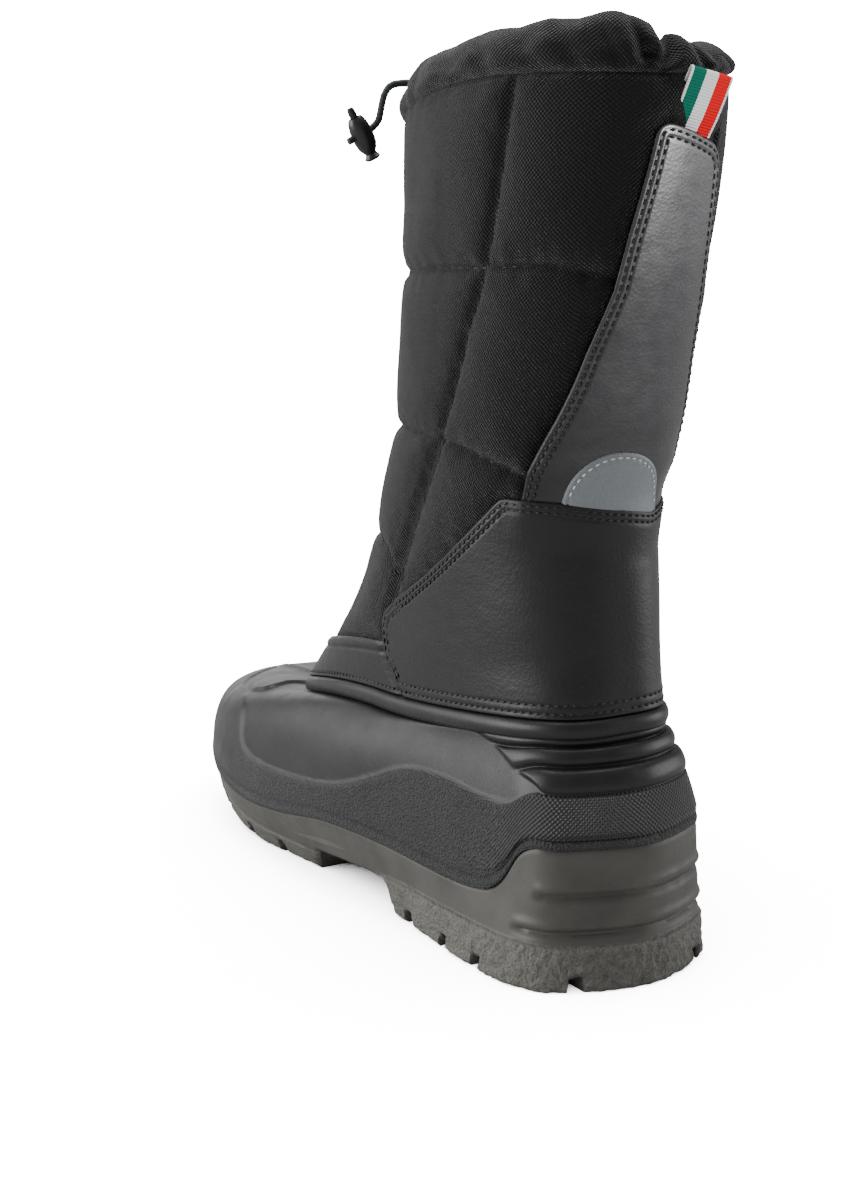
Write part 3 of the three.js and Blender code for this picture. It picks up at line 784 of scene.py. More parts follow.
emboss(shell_rubber, grain(shell_rubber, 3, 3.0), 0.06, 0.6)
emboss(shell_rubber, grain(shell_rubber, 0.5, 2.0), 0.04)

sole_rubber = new_finish("sole rubber", (0.05, 0.046, 0.04), 0.5)
crumb = grain(sole_rubber, 1.2, 5.0)
rough = mark(sole_rubber, "crepe")
specks = times(sole_rubber, grain(sole_rubber, 0.9, 4.0), rough)
clouds = times(sole_rubber, grain(sole_rubber, 20, 5.0), 0.5)
tint(sole_rubber, sum_of(sole_rubber, clouds, specks), (0.047, 0.0445, 0.039), (0.23, 0.219, 0.196))
smudges = grain(sole_rubber, 4, 3.0)
dull = sum_of(sole_rubber, smudges, times(sole_rubber, rough, 0.7))
set_roughness(sole_rubber, dull, 0.36, 0.66)
emboss(sole_rubber, times(sole_rubber, crumb, rough), 1.8)
emboss(sole_rubber, specks, 0.6)
emboss(sole_rubber, grain(sole_rubber, 1.1, 2.0), 0.1, 0.5)
print("finishes:", len(finishes))

# %% [markdown]
# ## The cord and its lock
# The cord is a tube whose wall has the low diamonds of a braid. The lock's body is turned round
# its axis with the spin operator, like a part on a lathe, with the bore that its plunger slides
# in.

# %% Make the drawcord


def tube_along(line, radius, strands=6, twist=2.2):
    """Place points round a line; v below 0 or above 1 closes the ends."""
    line = np.asarray(line)

    def place(u, v):
        inside = np.clip(v, 0, 1)
        spine = smooth_route(line, 400)
        at = np.rint(inside * 399).astype(int)
        ahead = spine[np.minimum(at + 2, 399)] - spine[np.maximum(at - 2, 0)]
        ahead /= np.linalg.norm(ahead, axis=1)[:, None]
        side = np.cross(ahead, (0, 1, 0))
        side /= np.linalg.norm(side, axis=1)[:, None]
        other = np.cross(ahead, side)
        angle = 2 * np.pi * u
        along = inside * cord_length / twist
        braid = np.cos(strands / 2 * angle + along * np.pi) * np.cos(
            strands / 2 * angle - along * np.pi)
        reach = radius * (0.95 + 0.05 * braid) * (1 - np.clip(np.maximum(-v, v - 1), 0, 0.01) * 100)
        return spine[at] + side * (reach * np.cos(angle))[:, None] + other * (
            reach * np.sin(angle))[:, None]

    return place


cord_stops = np.concatenate([[-0.01], np.linspace(0, 1, 160), [1.01]])
net = close_up(wrap(np.linspace(0, 1, 25), cord_stops, tube_along(CORD_ROUTE, CORD_RADIUS)))
drawcord = finish_piece("drawcord_braid", net, "braided cord", replaces=["drawcord"])

# %% Turn the cord lock
LOCK = {"centre": (-45, 109, 283), "lean": -math.radians(27)}
LOCK_PROFILE = [
    (0, -9.5), (2.2, -9.5), (2.75, -9.1), (2.9, -8.6), (2.3, -7.9), (1.95, -7.3), (2.3, -6.6),
    (3, -5.6), (3.5, -4.2), (3.78, -2.5), (3.85, -0.4), (3.75, 1.8), (3.45, 3.7), (3, 5.1),
    (2.4, 6), (1.7, 6), (1.7, 5), (2.75, 5), (2.75, -5.6), (0, -5.6),
]


def turned(profile, steps=40):
    """Spin a profile of (radius, height) in millimetres about the upright axis."""
    form = bmesh.new()
    corners = [form.verts.new((radius * MM, 0, height * MM)) for radius, height in profile]
    edges = [form.edges.new(pair) for pair in zip(corners, corners[1:])]
    bmesh.ops.spin(form, geom=corners + edges, cent=(0, 0, 0), axis=(0, 0, 1),
                   angle=2 * math.pi, steps=steps, use_merge=True)
    bmesh.ops.remove_doubles(form, verts=form.verts, dist=1e-6)
    return close_up(form)


lock_place = Matrix.Translation(to_frame(LOCK["centre"])) @ Matrix.Rotation(LOCK["lean"], 4, "Y")
net = turned(LOCK_PROFILE)
bmesh.ops.transform(net, matrix=lock_place, verts=net.verts)
lock_body = finish_piece("lock_body", net, "black plastic",
                         replaces=["cord_lock_body"], sharp=50)

plunger = frame["nodes"]["cord_lock_plunger"]
plunger.data.materials.clear()
plunger.data.materials.append(finishes["black plastic"])

# %% [markdown]
# ## The quilted shaft
# Quilted cloth is padding held down by stitching. Cloth physics could puff it up, but the relief
# of a seam is simple to write: steep beside the stitches, and round and full a little way off.
# The distance to the nearest seam drives it. Under the leather the cloth is pulled flat.

# %% Shape of the quilting
quilt_lines = {name: both_sides(draw_line(path)) for name, path in QUILT.items()}
narrow_seams = [line for name in ("upright", "upper", "lower", "instep")
                for line in quilt_lines[name]]
top_seam = (full_turn, np.full(600, 0.993))
STRIP_TOP = 0.932
PUFF, SOFTNESS, SUNK = 3.0, 4.6, 1.1


def is_covered(t, h):
    """Where leather lies over the cloth."""
    back = from_back(t)
    under_panel = (np.abs(back) < seam_at(h)) & (h < panel_top(back))
    under_vamp = (np.abs(back) >= seam_at(h)) & (h < PANEL["vampTop"])
    middle, half = (np.interp(h, STRIP["h"], STRIP[name]) for name in ("middle", "half"))
    under_strip = (np.abs(back - middle) < half) & (h < STRIP_TOP)
    return under_panel | under_vamp | under_strip


def quilting(t, h):
    """How far the padded cloth stands off the shaft, in millimetres."""
    base = on_face(t, h)
    narrow = far_from(base, [*narrow_seams, top_seam])
    wide = far_from(base, quilt_lines["channel"])
    edges = far_from(base, strip_edge + panel_edge + vamp_edge)
    away = np.minimum(np.minimum(narrow, edges + 0.8), np.maximum(wide - 2.4, 0) + 0.2)
    pucker = ripple(base, 5, 3) * np.exp(-away / 4) * np.minimum(away, 1) * 1.1
    fall = ripple(base, 24, 7) * 0.9 * (1 - np.exp(-away / 10))
    back = from_back(t)
    beside_strip = 1.6 * dent(back + 0.1, 0.06)
    at_ankle = 2.4 * dent(h - 0.27, 0.11) * ease(np.abs(back), 0.28, 0.34)
    below_cord = 1.3 * ease(h, 0.8, 0.88) * ease(back, 0.22, 0.3)
    calm = beside_strip + at_ankle + below_cord
    puff = (PUFF - calm) * (1 - np.exp(-away / SOFTNESS)) - 1.0 * dent(narrow, 1.3) - SUNK + pucker
    puff += fall + 0.5 * dent(np.abs(wide - 3.8), 1.0) - 1.1 * dent(wide, 2.5)
    return np.where(is_covered(t, h), np.minimum(puff, -SUNK), puff)


def quilt_place(t, h):
    return shaft_point(t, h, quilting(t, h))


# %% Make the quilted cloth and the lining
net = wrap(crowded(330), np.linspace(0.012, 0.998, 140), quilt_place, level=-1)
finish_piece("quilted_shaft", net, "quilted nylon", replaces=["upper"],
             thickness=1.6)


def lining_place(t, h):
    return shaft_point(t, h, -3.1 + 0.35 * ripple(on_face(t, h), 9, 2))


net = wrap(crowded(150), np.linspace(0.085, 0.996, 70), lining_place)
finish_piece("fleece_lining", net, "fleece lining", thickness=1.8)

# %% [markdown]
# ## The gathered collar
# The collar is a tunnel of the same cloth with the drawcord inside. A cloth simulation would
# gather it too, but never twice in the same way. Here it is a soft ring whose crest rises and
# falls where the cord gathers it, with folds listed one by one: deep ones at the back, where the
# gathers bunch, and shallow ones round the rest.

# %% Make the collar
COLLAR = {"half": 5.2, "centre": -3.0, "square": 2.3}
PIT = {"t": 0.034, "width": 0.012, "rise": 0.34, "depth": 4.5}
CREST = table(
    ["height", "lean"],
    [
        [9, 5.6], [15.5, 3.5], [14, 3], [12.8, 3.2], [11.4, 4], [10.5, 5], [10.2, 6], [10.6, 6],
        [11, 6], [11.3, 6], [11.5, 5.5], [11.5, 5], [11, 5], [10, 5.5], [8.5, 6.8], [6.8, 8.6],
        [9, 5.6],
    ],
)
FOLDS = table(
    ["t", "depth", "width", "slant"],
    [
        [-0.46, 0.9, 0.012, 0.02], [-0.41, 1.1, 0.01, -0.02], [-0.36, 0.8, 0.012, 0.015],
        [-0.31, 1.2, 0.011, 0.02], [-0.26, 0.9, 0.01, -0.015], [-0.215, 1.3, 0.011, 0.02],
        [-0.17, 1.0, 0.009, -0.01], [-0.13, 1.5, 0.01, 0.015], [-0.092, 2.0, 0.01, 0.02],
        [-0.058, 1.6, 0.008, -0.015], [-0.024, 2.2, 0.008, 0.01], [0.012, 3.6, 0.009, -0.018],
        [0.045, 1.6, 0.008, 0.02], [0.078, 1.2, 0.009, 0.03], [0.118, 1.0, 0.01, 0.025],
        [0.16, 1.3, 0.011, 0.03], [0.205, 0.9, 0.01, 0.02], [0.245, 1.2, 0.011, 0.03],
        [0.29, 0.9, 0.01, -0.02], [0.335, 1.2, 0.012, 0.02], [0.385, 0.9, 0.011, -0.02],
        [0.435, 1.1, 0.012, 0.02],
    ],
)
GATHERS = [
    (-0.5, 0), (-0.3, -0.5), (-0.15, 0.4), (-0.1, -0.5), (-0.07, 0.7), (-0.045, -0.4),
    (-0.02, 1.8), (0.0, 1.7), (0.013, -3.0), (0.028, 1.2), (0.05, 0.6), (0.085, 0.4), (0.11, -0.5),
    (0.14, 0.7), (0.175, -0.5), (0.21, 0.6), (0.25, -0.4), (0.3, 0.6), (0.36, -0.6), (0.42, 0.4),
    (0.5, 0),
]


def collar_place(t, section):
    back = from_back(t)
    angle = 2 * np.pi * section - np.pi / 2
    reach = signed_power(np.cos(angle), 2 / COLLAR["square"])
    rise = (1 + signed_power(np.sin(angle), 2 / COLLAR["square"])) / 2
    keys, heights = zip(*GATHERS)
    crest = column(CREST["height"], t % 1) + np.interp(back, keys, heights)
    base = on_face(t, np.ones(len(t)))
    fold = np.zeros(len(t))
    for middle, depth, width, slant in zip(*FOLDS.values()):
        off = np.abs(from_back(back - middle - slant * (rise - 0.5)))
        fold += 1.25 * depth * dent(off, width) * (
            0.3 + 0.7 * np.sin(np.pi * np.clip(rise, 0, 1)))
    outer = np.where(np.cos(angle) > 0, 1.0, 0.6)
    soft = ripple(np.column_stack([base[:, :2], rise * 30]), 9, 5) * 0.7
    swell = 1.5 * np.sin(np.pi * rise) ** 0.7
    out = COLLAR["centre"] + COLLAR["half"] * reach + np.sign(reach) * outer * (
        swell - fold + soft) * np.abs(reach) ** 0.5 - rise * column(CREST["lean"], t % 1)
    pit = PIT["depth"] * dent(back - PIT["t"], PIT["width"]) * dent(rise - PIT["rise"], 0.15)
    ring = shaft_point(t, np.ones(len(t)), out - pit * (reach > 0))
    sag = 1.5 + 4 * ease(np.abs(back), 0.22, 0.36)
    ring[:, 2] = base[:, 2] - sag + rise * (crest + sag + GAP) - 0.35 * fold * rise
    return ring


net = close_up(wrap(crowded(480), np.linspace(0, 1, 57), collar_place))
finish_piece("gathered_collar", net, "quilted nylon", replaces=["collar"])

# %% [markdown]
# ## Leather panels
# Each panel is cut from coated leather about 1.3 mm thick, with a turned edge and two rows of
# stitching beside it. It could be cut out of a copy of the shaft, but a net of its own puts an
# edge of faces exactly on each seam. The rows press shallow grooves that follow the edge, so the
# distance from the edge shapes the leather.

# %% Relief of a stitched panel
ROWS = (1.8, 3.9)


def stitched(edge_distance):
    """Height of the leather beside a turned and stitched edge."""
    turned_edge = -0.75 * dent(edge_distance, 0.6)
    grooves = sum(-0.42 * dent(edge_distance - row, 0.55) for row in ROWS)
    between = 0.16 * dent(edge_distance - sum(ROWS) / 2, 0.6)
    return turned_edge + grooves + between


LEATHER_TOP = PANEL["gap"] + PANEL["thick"]


def climb(t, h):
    """How far the heel panel's top rises to lie over the foot of the strip."""
    middle, half = STRIP["middle"][0], STRIP["half"][0]
    over = 1 - ease(np.abs(t - middle), half - 0.015, half + 0.012)
    return 1.2 * over * ease(h, panel_top(t) - 0.1, panel_top(t) - 0.02)


def bulge(t, h):
    """The strip stands off the ankle a little before it dives under the heel panel."""
    return 1.9 * ease(h, 0.47, 0.535) * (1 - ease(h, 0.57, 0.7))


foot_rows = [(full_turn, np.full(600, h)) for h in (0.024, 0.047)]


def heel_panel_place(s, w):
    t = PANEL["seam"] * (2 * s - 1)
    h = PANEL["foot"] + (panel_top(t) - PANEL["foot"]) * w
    lift = climb(t, h)
    t = t * seam_at(h) / PANEL["seam"]
    base = on_face(t, h)
    away = far_from(base, panel_edge + panel_seam)
    low = far_from(base, foot_rows)
    relief = stitched(away) - 0.3 * dent(low, 0.5)
    relief += 0.5 * ripple(base, 30, 4) * ease(away, 4, 25) * ease(low, 3, 15)
    return shaft_point(t, h, LEATHER_TOP + lift + relief)


# %% Make the heel panel, the vamp panel and the back strip
net = wrap(np.linspace(0, 1, 260), np.linspace(0, 1, 110), heel_panel_place)
finish_piece("heel_panel_leather", net, "coated leather",
             replaces=["heel_panel"], thickness=1.2)


def vamp_panel_place(s, w):
    h = PANEL["foot"] + (PANEL["vampTop"] - PANEL["foot"]) * w
    seam = seam_at(h) - 0.006
    t = seam + (1 - 2 * seam) * s
    base = on_face(t, h)
    away = far_from(base, vamp_edge)
    low = far_from(base, foot_rows[:1])
    beside = far_from(base, panel_seam)
    piping = 0.35 * dent(away - 2.0, 1.3) - 0.3 * dent(away - 4.2, 0.8)
    relief = piping - 0.6 * dent(away, 0.5) - 0.3 * dent(low, 0.5) - 1.2 * dent(beside, 2.2)
    relief -= 0.5 * ease(np.abs(from_back(t)), seam_at(h) + 0.004, seam_at(h) - 0.004)
    return shaft_point(t, h, LEATHER_TOP + relief + 0.35 * ripple(base, 22, 9))


net = wrap(np.linspace(0, 1, 240), np.linspace(0, 1, 60), vamp_panel_place)
finish_piece("vamp_panel_leather", net, "coated leather",
             replaces=["vamp_panel"], thickness=1.2)


def strip_cover_place(s, w):
    t, h = strip_place(s, w)
    base = on_face(t, h)
    away = far_from(base, strip_edge)
    creases = 0.3 * ripple(base * (1, 1, 0.45), 11, 6) + 0.4 * ripple(base, 32, 1)
    relief = stitched(away) + creases * ease(away, 5, 14) + bulge(t, h)
    return shaft_point(t, h, LEATHER_TOP + 0.1 + relief)


net = wrap(np.linspace(0, 1, 120), np.linspace(0, 1, 240), strip_cover_place)
finish_piece("back_strip_leather", net, "coated leather",
             replaces=["back_strip"], thickness=1.2)

# %% Make the reflective patch
PATCH = {"middle": 0.002, "half": 0.066, "height": 0.1, "out": 0.7, "row": 1.8}


def patch_place(s, w):
    """A half-ellipse; its stops crowd towards both ends, where the rim turns down."""
    side = 2 * ((1 - np.cos(np.pi * s)) / 2) - 1
    t = PATCH["middle"] + PATCH["half"] * side
    foot = panel_top(t) - 0.008
    arch = np.sqrt(np.maximum(1 - side * side, 0.004))
    return t, foot + PATCH["height"] * arch * w


patch_rim = [patch_place(run, np.ones(300))]


def patch_cover_place(s, w):
    t, h = patch_place(s, w)
    away = far_from(on_face(t, h), patch_rim)
    relief = -0.35 * dent(away, 0.5) - 0.2 * dent(away - PATCH["row"], 0.5)
    return shaft_point(t, h, LEATHER_TOP + PATCH["out"] + bulge(t, h) + relief)


net = wrap(np.linspace(0, 1, 120), np.linspace(0, 1, 50), patch_cover_place)
finish_piece("reflective_patch", net, "reflective cloth",
             replaces=["reflector"], thickness=0.6)

# %% [markdown]
# ## Stitches
# Each stitch is a small grain of thread. Painted stitches would do from far off, but real ones
# catch the light. One low sphere, stretched along the seam, is set down again and again at an
# even pitch, so hundreds of them stay light.

# %% Rows of stitches


def inset(line, amount):
    """The line moved sideways over the shaft by amount millimetres."""
    t, h = line
    step = 0.002
    over_t = (on_face(t + step, h) - on_face(t - step, h)) / (2 * step)
    over_h = (on_face(t, h + step) - on_face(t, h - step)) / (2 * step)
    along = np.gradient(on_face(t, h), axis=0)
    along /= np.linalg.norm(along, axis=1)[:, None]
    square = np.cross(over_h, over_t)
    square /= np.linalg.norm(square, axis=1)[:, None]
    sideways = np.cross(square, along) * amount
    tt, th, hh = ((a * b).sum(axis=1) for a, b in
                  ((over_t, over_t), (over_t, over_h), (over_h, over_h)))
    st, sh = ((sideways * a).sum(axis=1) for a in (over_t, over_h))
    whole = tt * hh - th * th
    return t + (st * hh - sh * th) / whole, h + (sh * tt - st * th) / whole


def stitch_rows(name, rows, out, finish, pitch=3.0, length=2.1, width=0.95):
    """Set stitches along lines on the shaft; out is how far the seam stands off it."""
    form = bmesh.new()
    count = 0
    for line in rows:
        lift = out(*line) if callable(out) else np.full(len(line[0]), out)
        spots = shaft_point(line[0], line[1], lift)
        above = shaft_point(line[0], line[1], lift + 1) - spots
        travelled = np.concatenate([[0], np.cumsum(np.linalg.norm(np.diff(spots, axis=0), axis=1))])
        stops = np.arange(pitch / 2, travelled[-1], pitch)
        for stop in stops:
            at, ahead, up = (
                Vector([np.interp(place, travelled, axis) for axis in values.T])
                for place, values in ((stop, spots), (stop + length / 2, spots), (stop, above)))
            along = (ahead - at).normalized()
            side = up.cross(along).normalized()
            top = along.cross(side)
            sizes = (along * length / 2, side * width / 2, top * width * 0.42)
            turned_to = Matrix([size * MM for size in sizes]).transposed().to_4x4()
            place = Matrix.Translation(to_frame(at)) @ turned_to
            bmesh.ops.create_uvsphere(form, u_segments=6, v_segments=5, radius=1, matrix=place)
            count += 1
    print(f"{name}: {count} stitches")
    return finish_piece(name, form, finish)


def smooth_line(line, window):
    """Round off a drawn line's corners."""
    kernel = np.ones(window) / window
    padded = [np.pad(values, window // 2, mode="edge") for values in line]
    return tuple(np.convolve(values, kernel, mode="valid") for values in padded)


def strip_border():
    """Up one side of the strip, over its top and down the other side."""
    up, over = np.linspace(0.02, 1, 500), np.linspace(0, 1, 160)
    s = np.concatenate([np.zeros_like(up), over, np.ones_like(up)])
    w = np.concatenate([up, np.ones_like(over), up[::-1]])
    return smooth_line(strip_place(s, w), 21)


def trimmed(line, keep):
    """The part of a line that is kept."""
    return line[0][keep], line[1][keep]


# %% Sew the panels
panel_rows = []
for amount in ROWS:
    row = inset(panel_edge[0], amount)
    panel_rows.append(trimmed(row, np.abs(row[0]) < seam_at(row[1]) - 0.008))
seat = LEATHER_TOP - 0.12
stitch_rows("heel_panel_stitches", panel_rows, lambda t, h: seat + climb(t, h), "black thread")
low_row, (high_t, high_h) = foot_rows
high_row = (np.sort(from_back(high_t)), high_h)
high_row = trimmed(high_row, np.abs(high_row[0]) < PANEL["seam"] - 0.01)
stitch_rows("foot_stitches", [low_row, high_row], seat, "black thread")
strip_rows = [inset(strip_border(), amount) for amount in ROWS]
stitch_rows("back_strip_stitches", strip_rows, lambda t, h: seat + 0.1 + bulge(t, h),
            "black thread")
patch_arch = patch_place(np.linspace(0.06, 0.94, 300), np.ones(300))
stitch_rows("patch_stitches", [inset(smooth_line(patch_arch, 9), PATCH["row"])],
            lambda t, h: LEATHER_TOP + PATCH["out"] - 0.04 + bulge(t, h), "white thread",
            pitch=2.7, length=1.9, width=0.75)

both_ways = (-ROWS[1], -ROWS[0], *ROWS)
seam_rows = [inset(line, amount) for line in panel_seam for amount in both_ways]
seam_rows = [trimmed(row, slice(12, 60)) for row in seam_rows
             if np.all(np.abs(row[0]) < seam_at(row[1]))]
stitch_rows("side_seam_stitches", seam_rows, seat, "black thread")

quilt_rows = [line for name in QUILT for line in quilt_lines[name]]
open_rows = [trimmed(line, ~is_covered(line[0], line[1])) for line in quilt_rows]
stitch_rows("quilt_stitches", open_rows, lambda t, h: quilting(t, h) + 0.1, "black thread",
            pitch=4.2, length=3.0, width=0.8)

# %% [markdown]
# ## The pull loop
# A folded ribbon stands behind the collar, so that the boot can be pulled on. A curve with a flat
# section could follow the fold too, but it twists easily. A narrow net is bent along its side
# view instead: up, over the fold and down, and then turned as a whole.

# %% Make the pull loop
LOOP = {"foot": (5.4, -10.6, 280), "turn": -0.2, "recline": 0.34, "lean": 0.25, "height": 17.8}
loop_turn = np.array(
    Matrix.Rotation(LOOP["turn"], 3, "Z") @ Matrix.Rotation(LOOP["recline"], 3, "X")
    @ Matrix.Rotation(LOOP["lean"], 3, "Y"))
fold_radius = 1.0


def loop_place(u, v):
    straight = LOOP["height"] - fold_radius - 0.5
    total = 2 * straight + math.pi * fold_radius
    along = v * total
    up = np.where(along < straight, along, np.where(
        along > total - straight, total - along, straight))
    bend = np.clip((along - straight) / (math.pi * fold_radius), 0, 1) * math.pi
    up = up + fold_radius * np.sin(bend) * (np.abs(along - total / 2) < total / 2 - straight)
    bow = 0.35 * np.sin(np.pi * np.clip(up / LOOP["height"], 0, 1)) - 0.5 * (1 - ease(up, 0, 6))
    side = np.cos(bend)
    local = np.column_stack([
        (u - 0.5) * RIBBON_WIDTH, -side * (fold_radius + bow), 1.12 * up - 1.7])
    return local @ loop_turn.T + LOOP["foot"]


net = wrap(np.linspace(0, 1, 25), np.linspace(0, 1, 90), loop_place, flip=False)
finish_piece("ribbon_loop", net, "ribbon", replaces=["pull_loop"], thickness=0.5)

# %% [markdown]
# ## The rubber shell
# The shell is one moulding: a floor, a side, a thick bead at the rim and a thin flange that the
# shaft is sewn to. One long profile runs from under the foot, up outside, over the bead and down
# inside, and the relief is added on the outer face: heel ribs with slanting ends, a mudguard with
# a wavy edge, ridges on the toe and a narrow bead above the sole.

# %% Relief of the shell
GUARD = [
    (0.5, 0.61), (0.444, 0.6), (0.395, 0.59), (0.373, 0.574), (0.355, 0.5), (0.341, 0.397),
    (0.324, 0.245), (0.284, 0.205), (0.233, 0.215), (0.205, 0.308), (0.182, 0.46), (0.164, 0.5),
    (0.148, 0.491), (0.127, 0.479), (0.103, 0.461), (0.0, 0.455),
]
TOE_PANEL = [(0.398, 0.56), (0.38, 0.65), (0.372, 0.74), (0.39, 0.86), (0.44, 0.98)]
TOE_RIDGE = [(0.488, 0.6), (0.486, 0.72), (0.485, 0.84), (0.485, 0.96)]
RIB_BANDS = [(0.452, 0.625), (0.645, 0.81), (0.83, 0.975)]
RIB_ENDS = [(0.41, 0.066), (0.5, 0.085), (0.647, 0.12), (0.875, 0.158), (1, 0.176)]
RAISED = {"guard": 0.85, "rib": 2.5, "toe panel": 1.3, "toe ridge": 0.9, "toe cap": 1.5}

guard_t, guard_v = draw_line(GUARD, 400)
panel_t, panel_v = draw_line(TOE_PANEL, 160)
guard_path = [on_shell(*line) for line in both_sides((guard_t, guard_v))]
panel_path = [on_shell(*line) for line in both_sides((panel_t, panel_v))]
ridge_path = [on_shell(*draw_line(TOE_RIDGE, 120))]


def shell_relief(t, v):
    """Height of the moulding on the shell's face, and where it is sandy or hatched."""
    back = np.abs(from_back(t))
    base = on_shell(t, v)
    above_sole = base[:, 2] - edge_height(t)
    side = np.where(v < np.interp(back, guard_t[::-1], guard_v[::-1]), 1, -1)
    below = distance_to(base, guard_path) * side
    guard = RAISED["guard"] * ease(below, -0.8, 1.2) * ease(back, 0.105, 0.145)
    end_v, end_t = zip(*RIB_ENDS)
    rib_end = np.interp(v, end_v, end_t)
    reach = 1 - ease(back, rib_end - 0.006, rib_end)
    ribs = np.zeros(len(t))
    for low, high in RIB_BANDS:
        inside = np.clip((v - low) / (high - low), 0, 1)
        ribs += RAISED["rib"] * np.sqrt(np.clip(1 - np.abs(2 * inside - 1) ** 2.6, 0, 1))
    ribs = (ribs - 0.4) * reach * (v > RIB_BANDS[0][0] - 0.01)
    band = ease(v, 0.13, 0.147) * (1 - ease(v, 0.435, 0.452)) * (1 - ease(back, 0.115, 0.15))
    in_panel = np.where(back > np.interp(v, panel_v, panel_t), 1, -1)
    panel = RAISED["toe panel"] * ease(distance_to(base, panel_path) * in_panel, -1.0, 1.0)
    ridge = RAISED["toe ridge"] * dent(distance_to(base, ridge_path), 2.4)
    top = (panel + ridge) * ease(v, 0.62, 0.7) * (back > 0.3)
    toe = top + RAISED["toe cap"] * ease(back, 0.36, 0.42) * ease(v, 0.6, 0.8)
    foot_bead = 0.5 * dent(above_sole - 1.6, 1.5) - 0.5 * dent(above_sole - 4.0, 0.7)
    dip = -1.6 * ease(back, 0.1, 0.17) * (1 - ease(back, 0.2, 0.3)) * dent(v - 0.72, 0.2)
    relief = guard + ribs + band + toe + foot_bead + dip
    on_side = ease(back, 0.1, 0.15) * (1 - ease(back, 0.26, 0.36))
    sandy = np.clip(ease(below, 0.5, 2.5) * on_side + (v < 0.13) * (back < 0.14), 0, 1)
    return relief, sandy, band


# %% Make the shell
PROFILE = np.concatenate([
    [0, 1, 2, 3], np.linspace(3, 4, 96)[1:], np.linspace(4, 5, 18)[1:], np.linspace(5, 7, 7)[1:],
    np.linspace(7, 8, 12)[1:], [9, 10],
])
FLANGE = {"out": -2.7, "top": 0.06}


def shell_place(t, stage):
    """Stages: 0 floor below, 2 lip, 3 to 4 outer face, 5 rim, 7 inner wall, 9 floor above."""
    zero = np.zeros(len(t))
    v = np.clip(stage - 3, 0, 1)
    relief, sandy, hatched = shell_relief(t, v)
    inwards = -SOLE_LIP - GAP

    def floor(offset, rise, f):
        def height(y):
            return bed_height(y) + GAP + rise

        edge = plan(edge_outline, t, offset, height)
        middle = (edge + plan(edge_outline, 1 - t, offset, height)) / 2
        middle[:, 2] = height(middle[:, 1])
        return edge + (middle - edge) * f

    bead = np.clip(stage - 4, 0, 1) * np.pi
    bead_out = 3.5 * np.sin(np.clip(bead * 1.02, 0, np.pi)) ** 0.62
    bead_up = -BEAD_HEIGHT + BEAD_HEIGHT * (1 - np.cos(bead)) / 2
    foot, top, back = (
        shaft_point(t, zero + h, zero + out)
        for h, out in ((0, FLANGE["out"]), (FLANGE["top"], FLANGE["out"]), (0, FLANGE["out"] - 2)))
    up_flange, down_flange = (np.clip(stage - start, 0, 1)[:, None] for start in (5, 6))
    choice = [
        (stage <= 0, floor(inwards, 0, 1.0)),
        (stage <= 1, floor(inwards, 0, 0.0)),
        (stage <= 2, plan(edge_outline, t, inwards, edge_height(t) + GAP)),
        (stage <= 4, shell_point(t, v, relief)),
        (stage <= 5, rim_point(t, np.maximum(bead_out, np.where(bead > 2.2, 0.6, 0)), bead_up)),
        (stage <= 7, foot + (top - foot) * up_flange + (back - top) * down_flange),
        (stage <= 8, shell_point(t, 1 - np.clip(stage - 7, 0, 1) * 0.88, zero - SHELL_WALL)),
        (stage <= 9, floor(inwards - SHELL_WALL, SHELL_WALL, 0.0)),
        (stage <= 10, floor(inwards - SHELL_WALL, SHELL_WALL, 1.0)),
    ]
    placed = np.zeros((len(t), 3))
    done = np.zeros(len(t), bool)
    for test, values in choice:
        pick = test & ~done
        placed[pick] = values[pick]
        done |= pick
    outside = (stage >= 3) & (stage <= 4)
    return placed, {"sandy": sandy * outside, "hatched": hatched * outside}


net = close_up(wrap(crowded(540), PROFILE, shell_place, level=None, row=31))
finish_piece("moulded_shell", net, "shell rubber", replaces=["shell"])

# %% [markdown]
# ## The insole
# A felt slab lies on the shell's floor. It could be a thickened flat sheet, but cut felt has a
# soft rounded edge, so a net is wrapped out under the slab, round its edge and back over the top.

# %% Make the insole
FELT = table(["inwards", "up"], [[1, 0], [0.02, 0], [0, 0.8], [0, 4.2], [0.02, 5], [1, 5]])


def insole_place(t, stage):
    offset = -SOLE_LIP - GAP - SHELL_WALL - 1.3
    inwards, up = (np.interp(stage, np.arange(6), FELT[name]) for name in ("inwards", "up"))
    edge = plan(edge_outline, t, offset, 0)
    middle = (edge + plan(edge_outline, 1 - t, offset, 0)) / 2
    point = edge + (middle - edge) * inwards[:, None]
    point[:, 2] = bed_height(point[:, 1]) + 2 * GAP + SHELL_WALL + up
    return point


net = close_up(wrap(crowded(160), np.linspace(0, 5, 11), insole_place))
finish_piece("felt_insole", net, "felt", replaces=["insole"])

# %% [markdown]
# ## The outsole
# The sole's net has columns exactly at the edges of its grooves, so the lugs stay crisp without
# cutting. Its profile runs from the middle of the tread out to the edge, up the side wall and in
# over the bed. The lower band is rough crepe and the heel has two moulded steps.

# %% Heights under the sole
GROOVES = [43, 64, 90, 187, 212, 237, 261]
GROOVE_HALF, GROOVE_SLOPE = 2.75, 0.8
LUG_DEPTH = 5


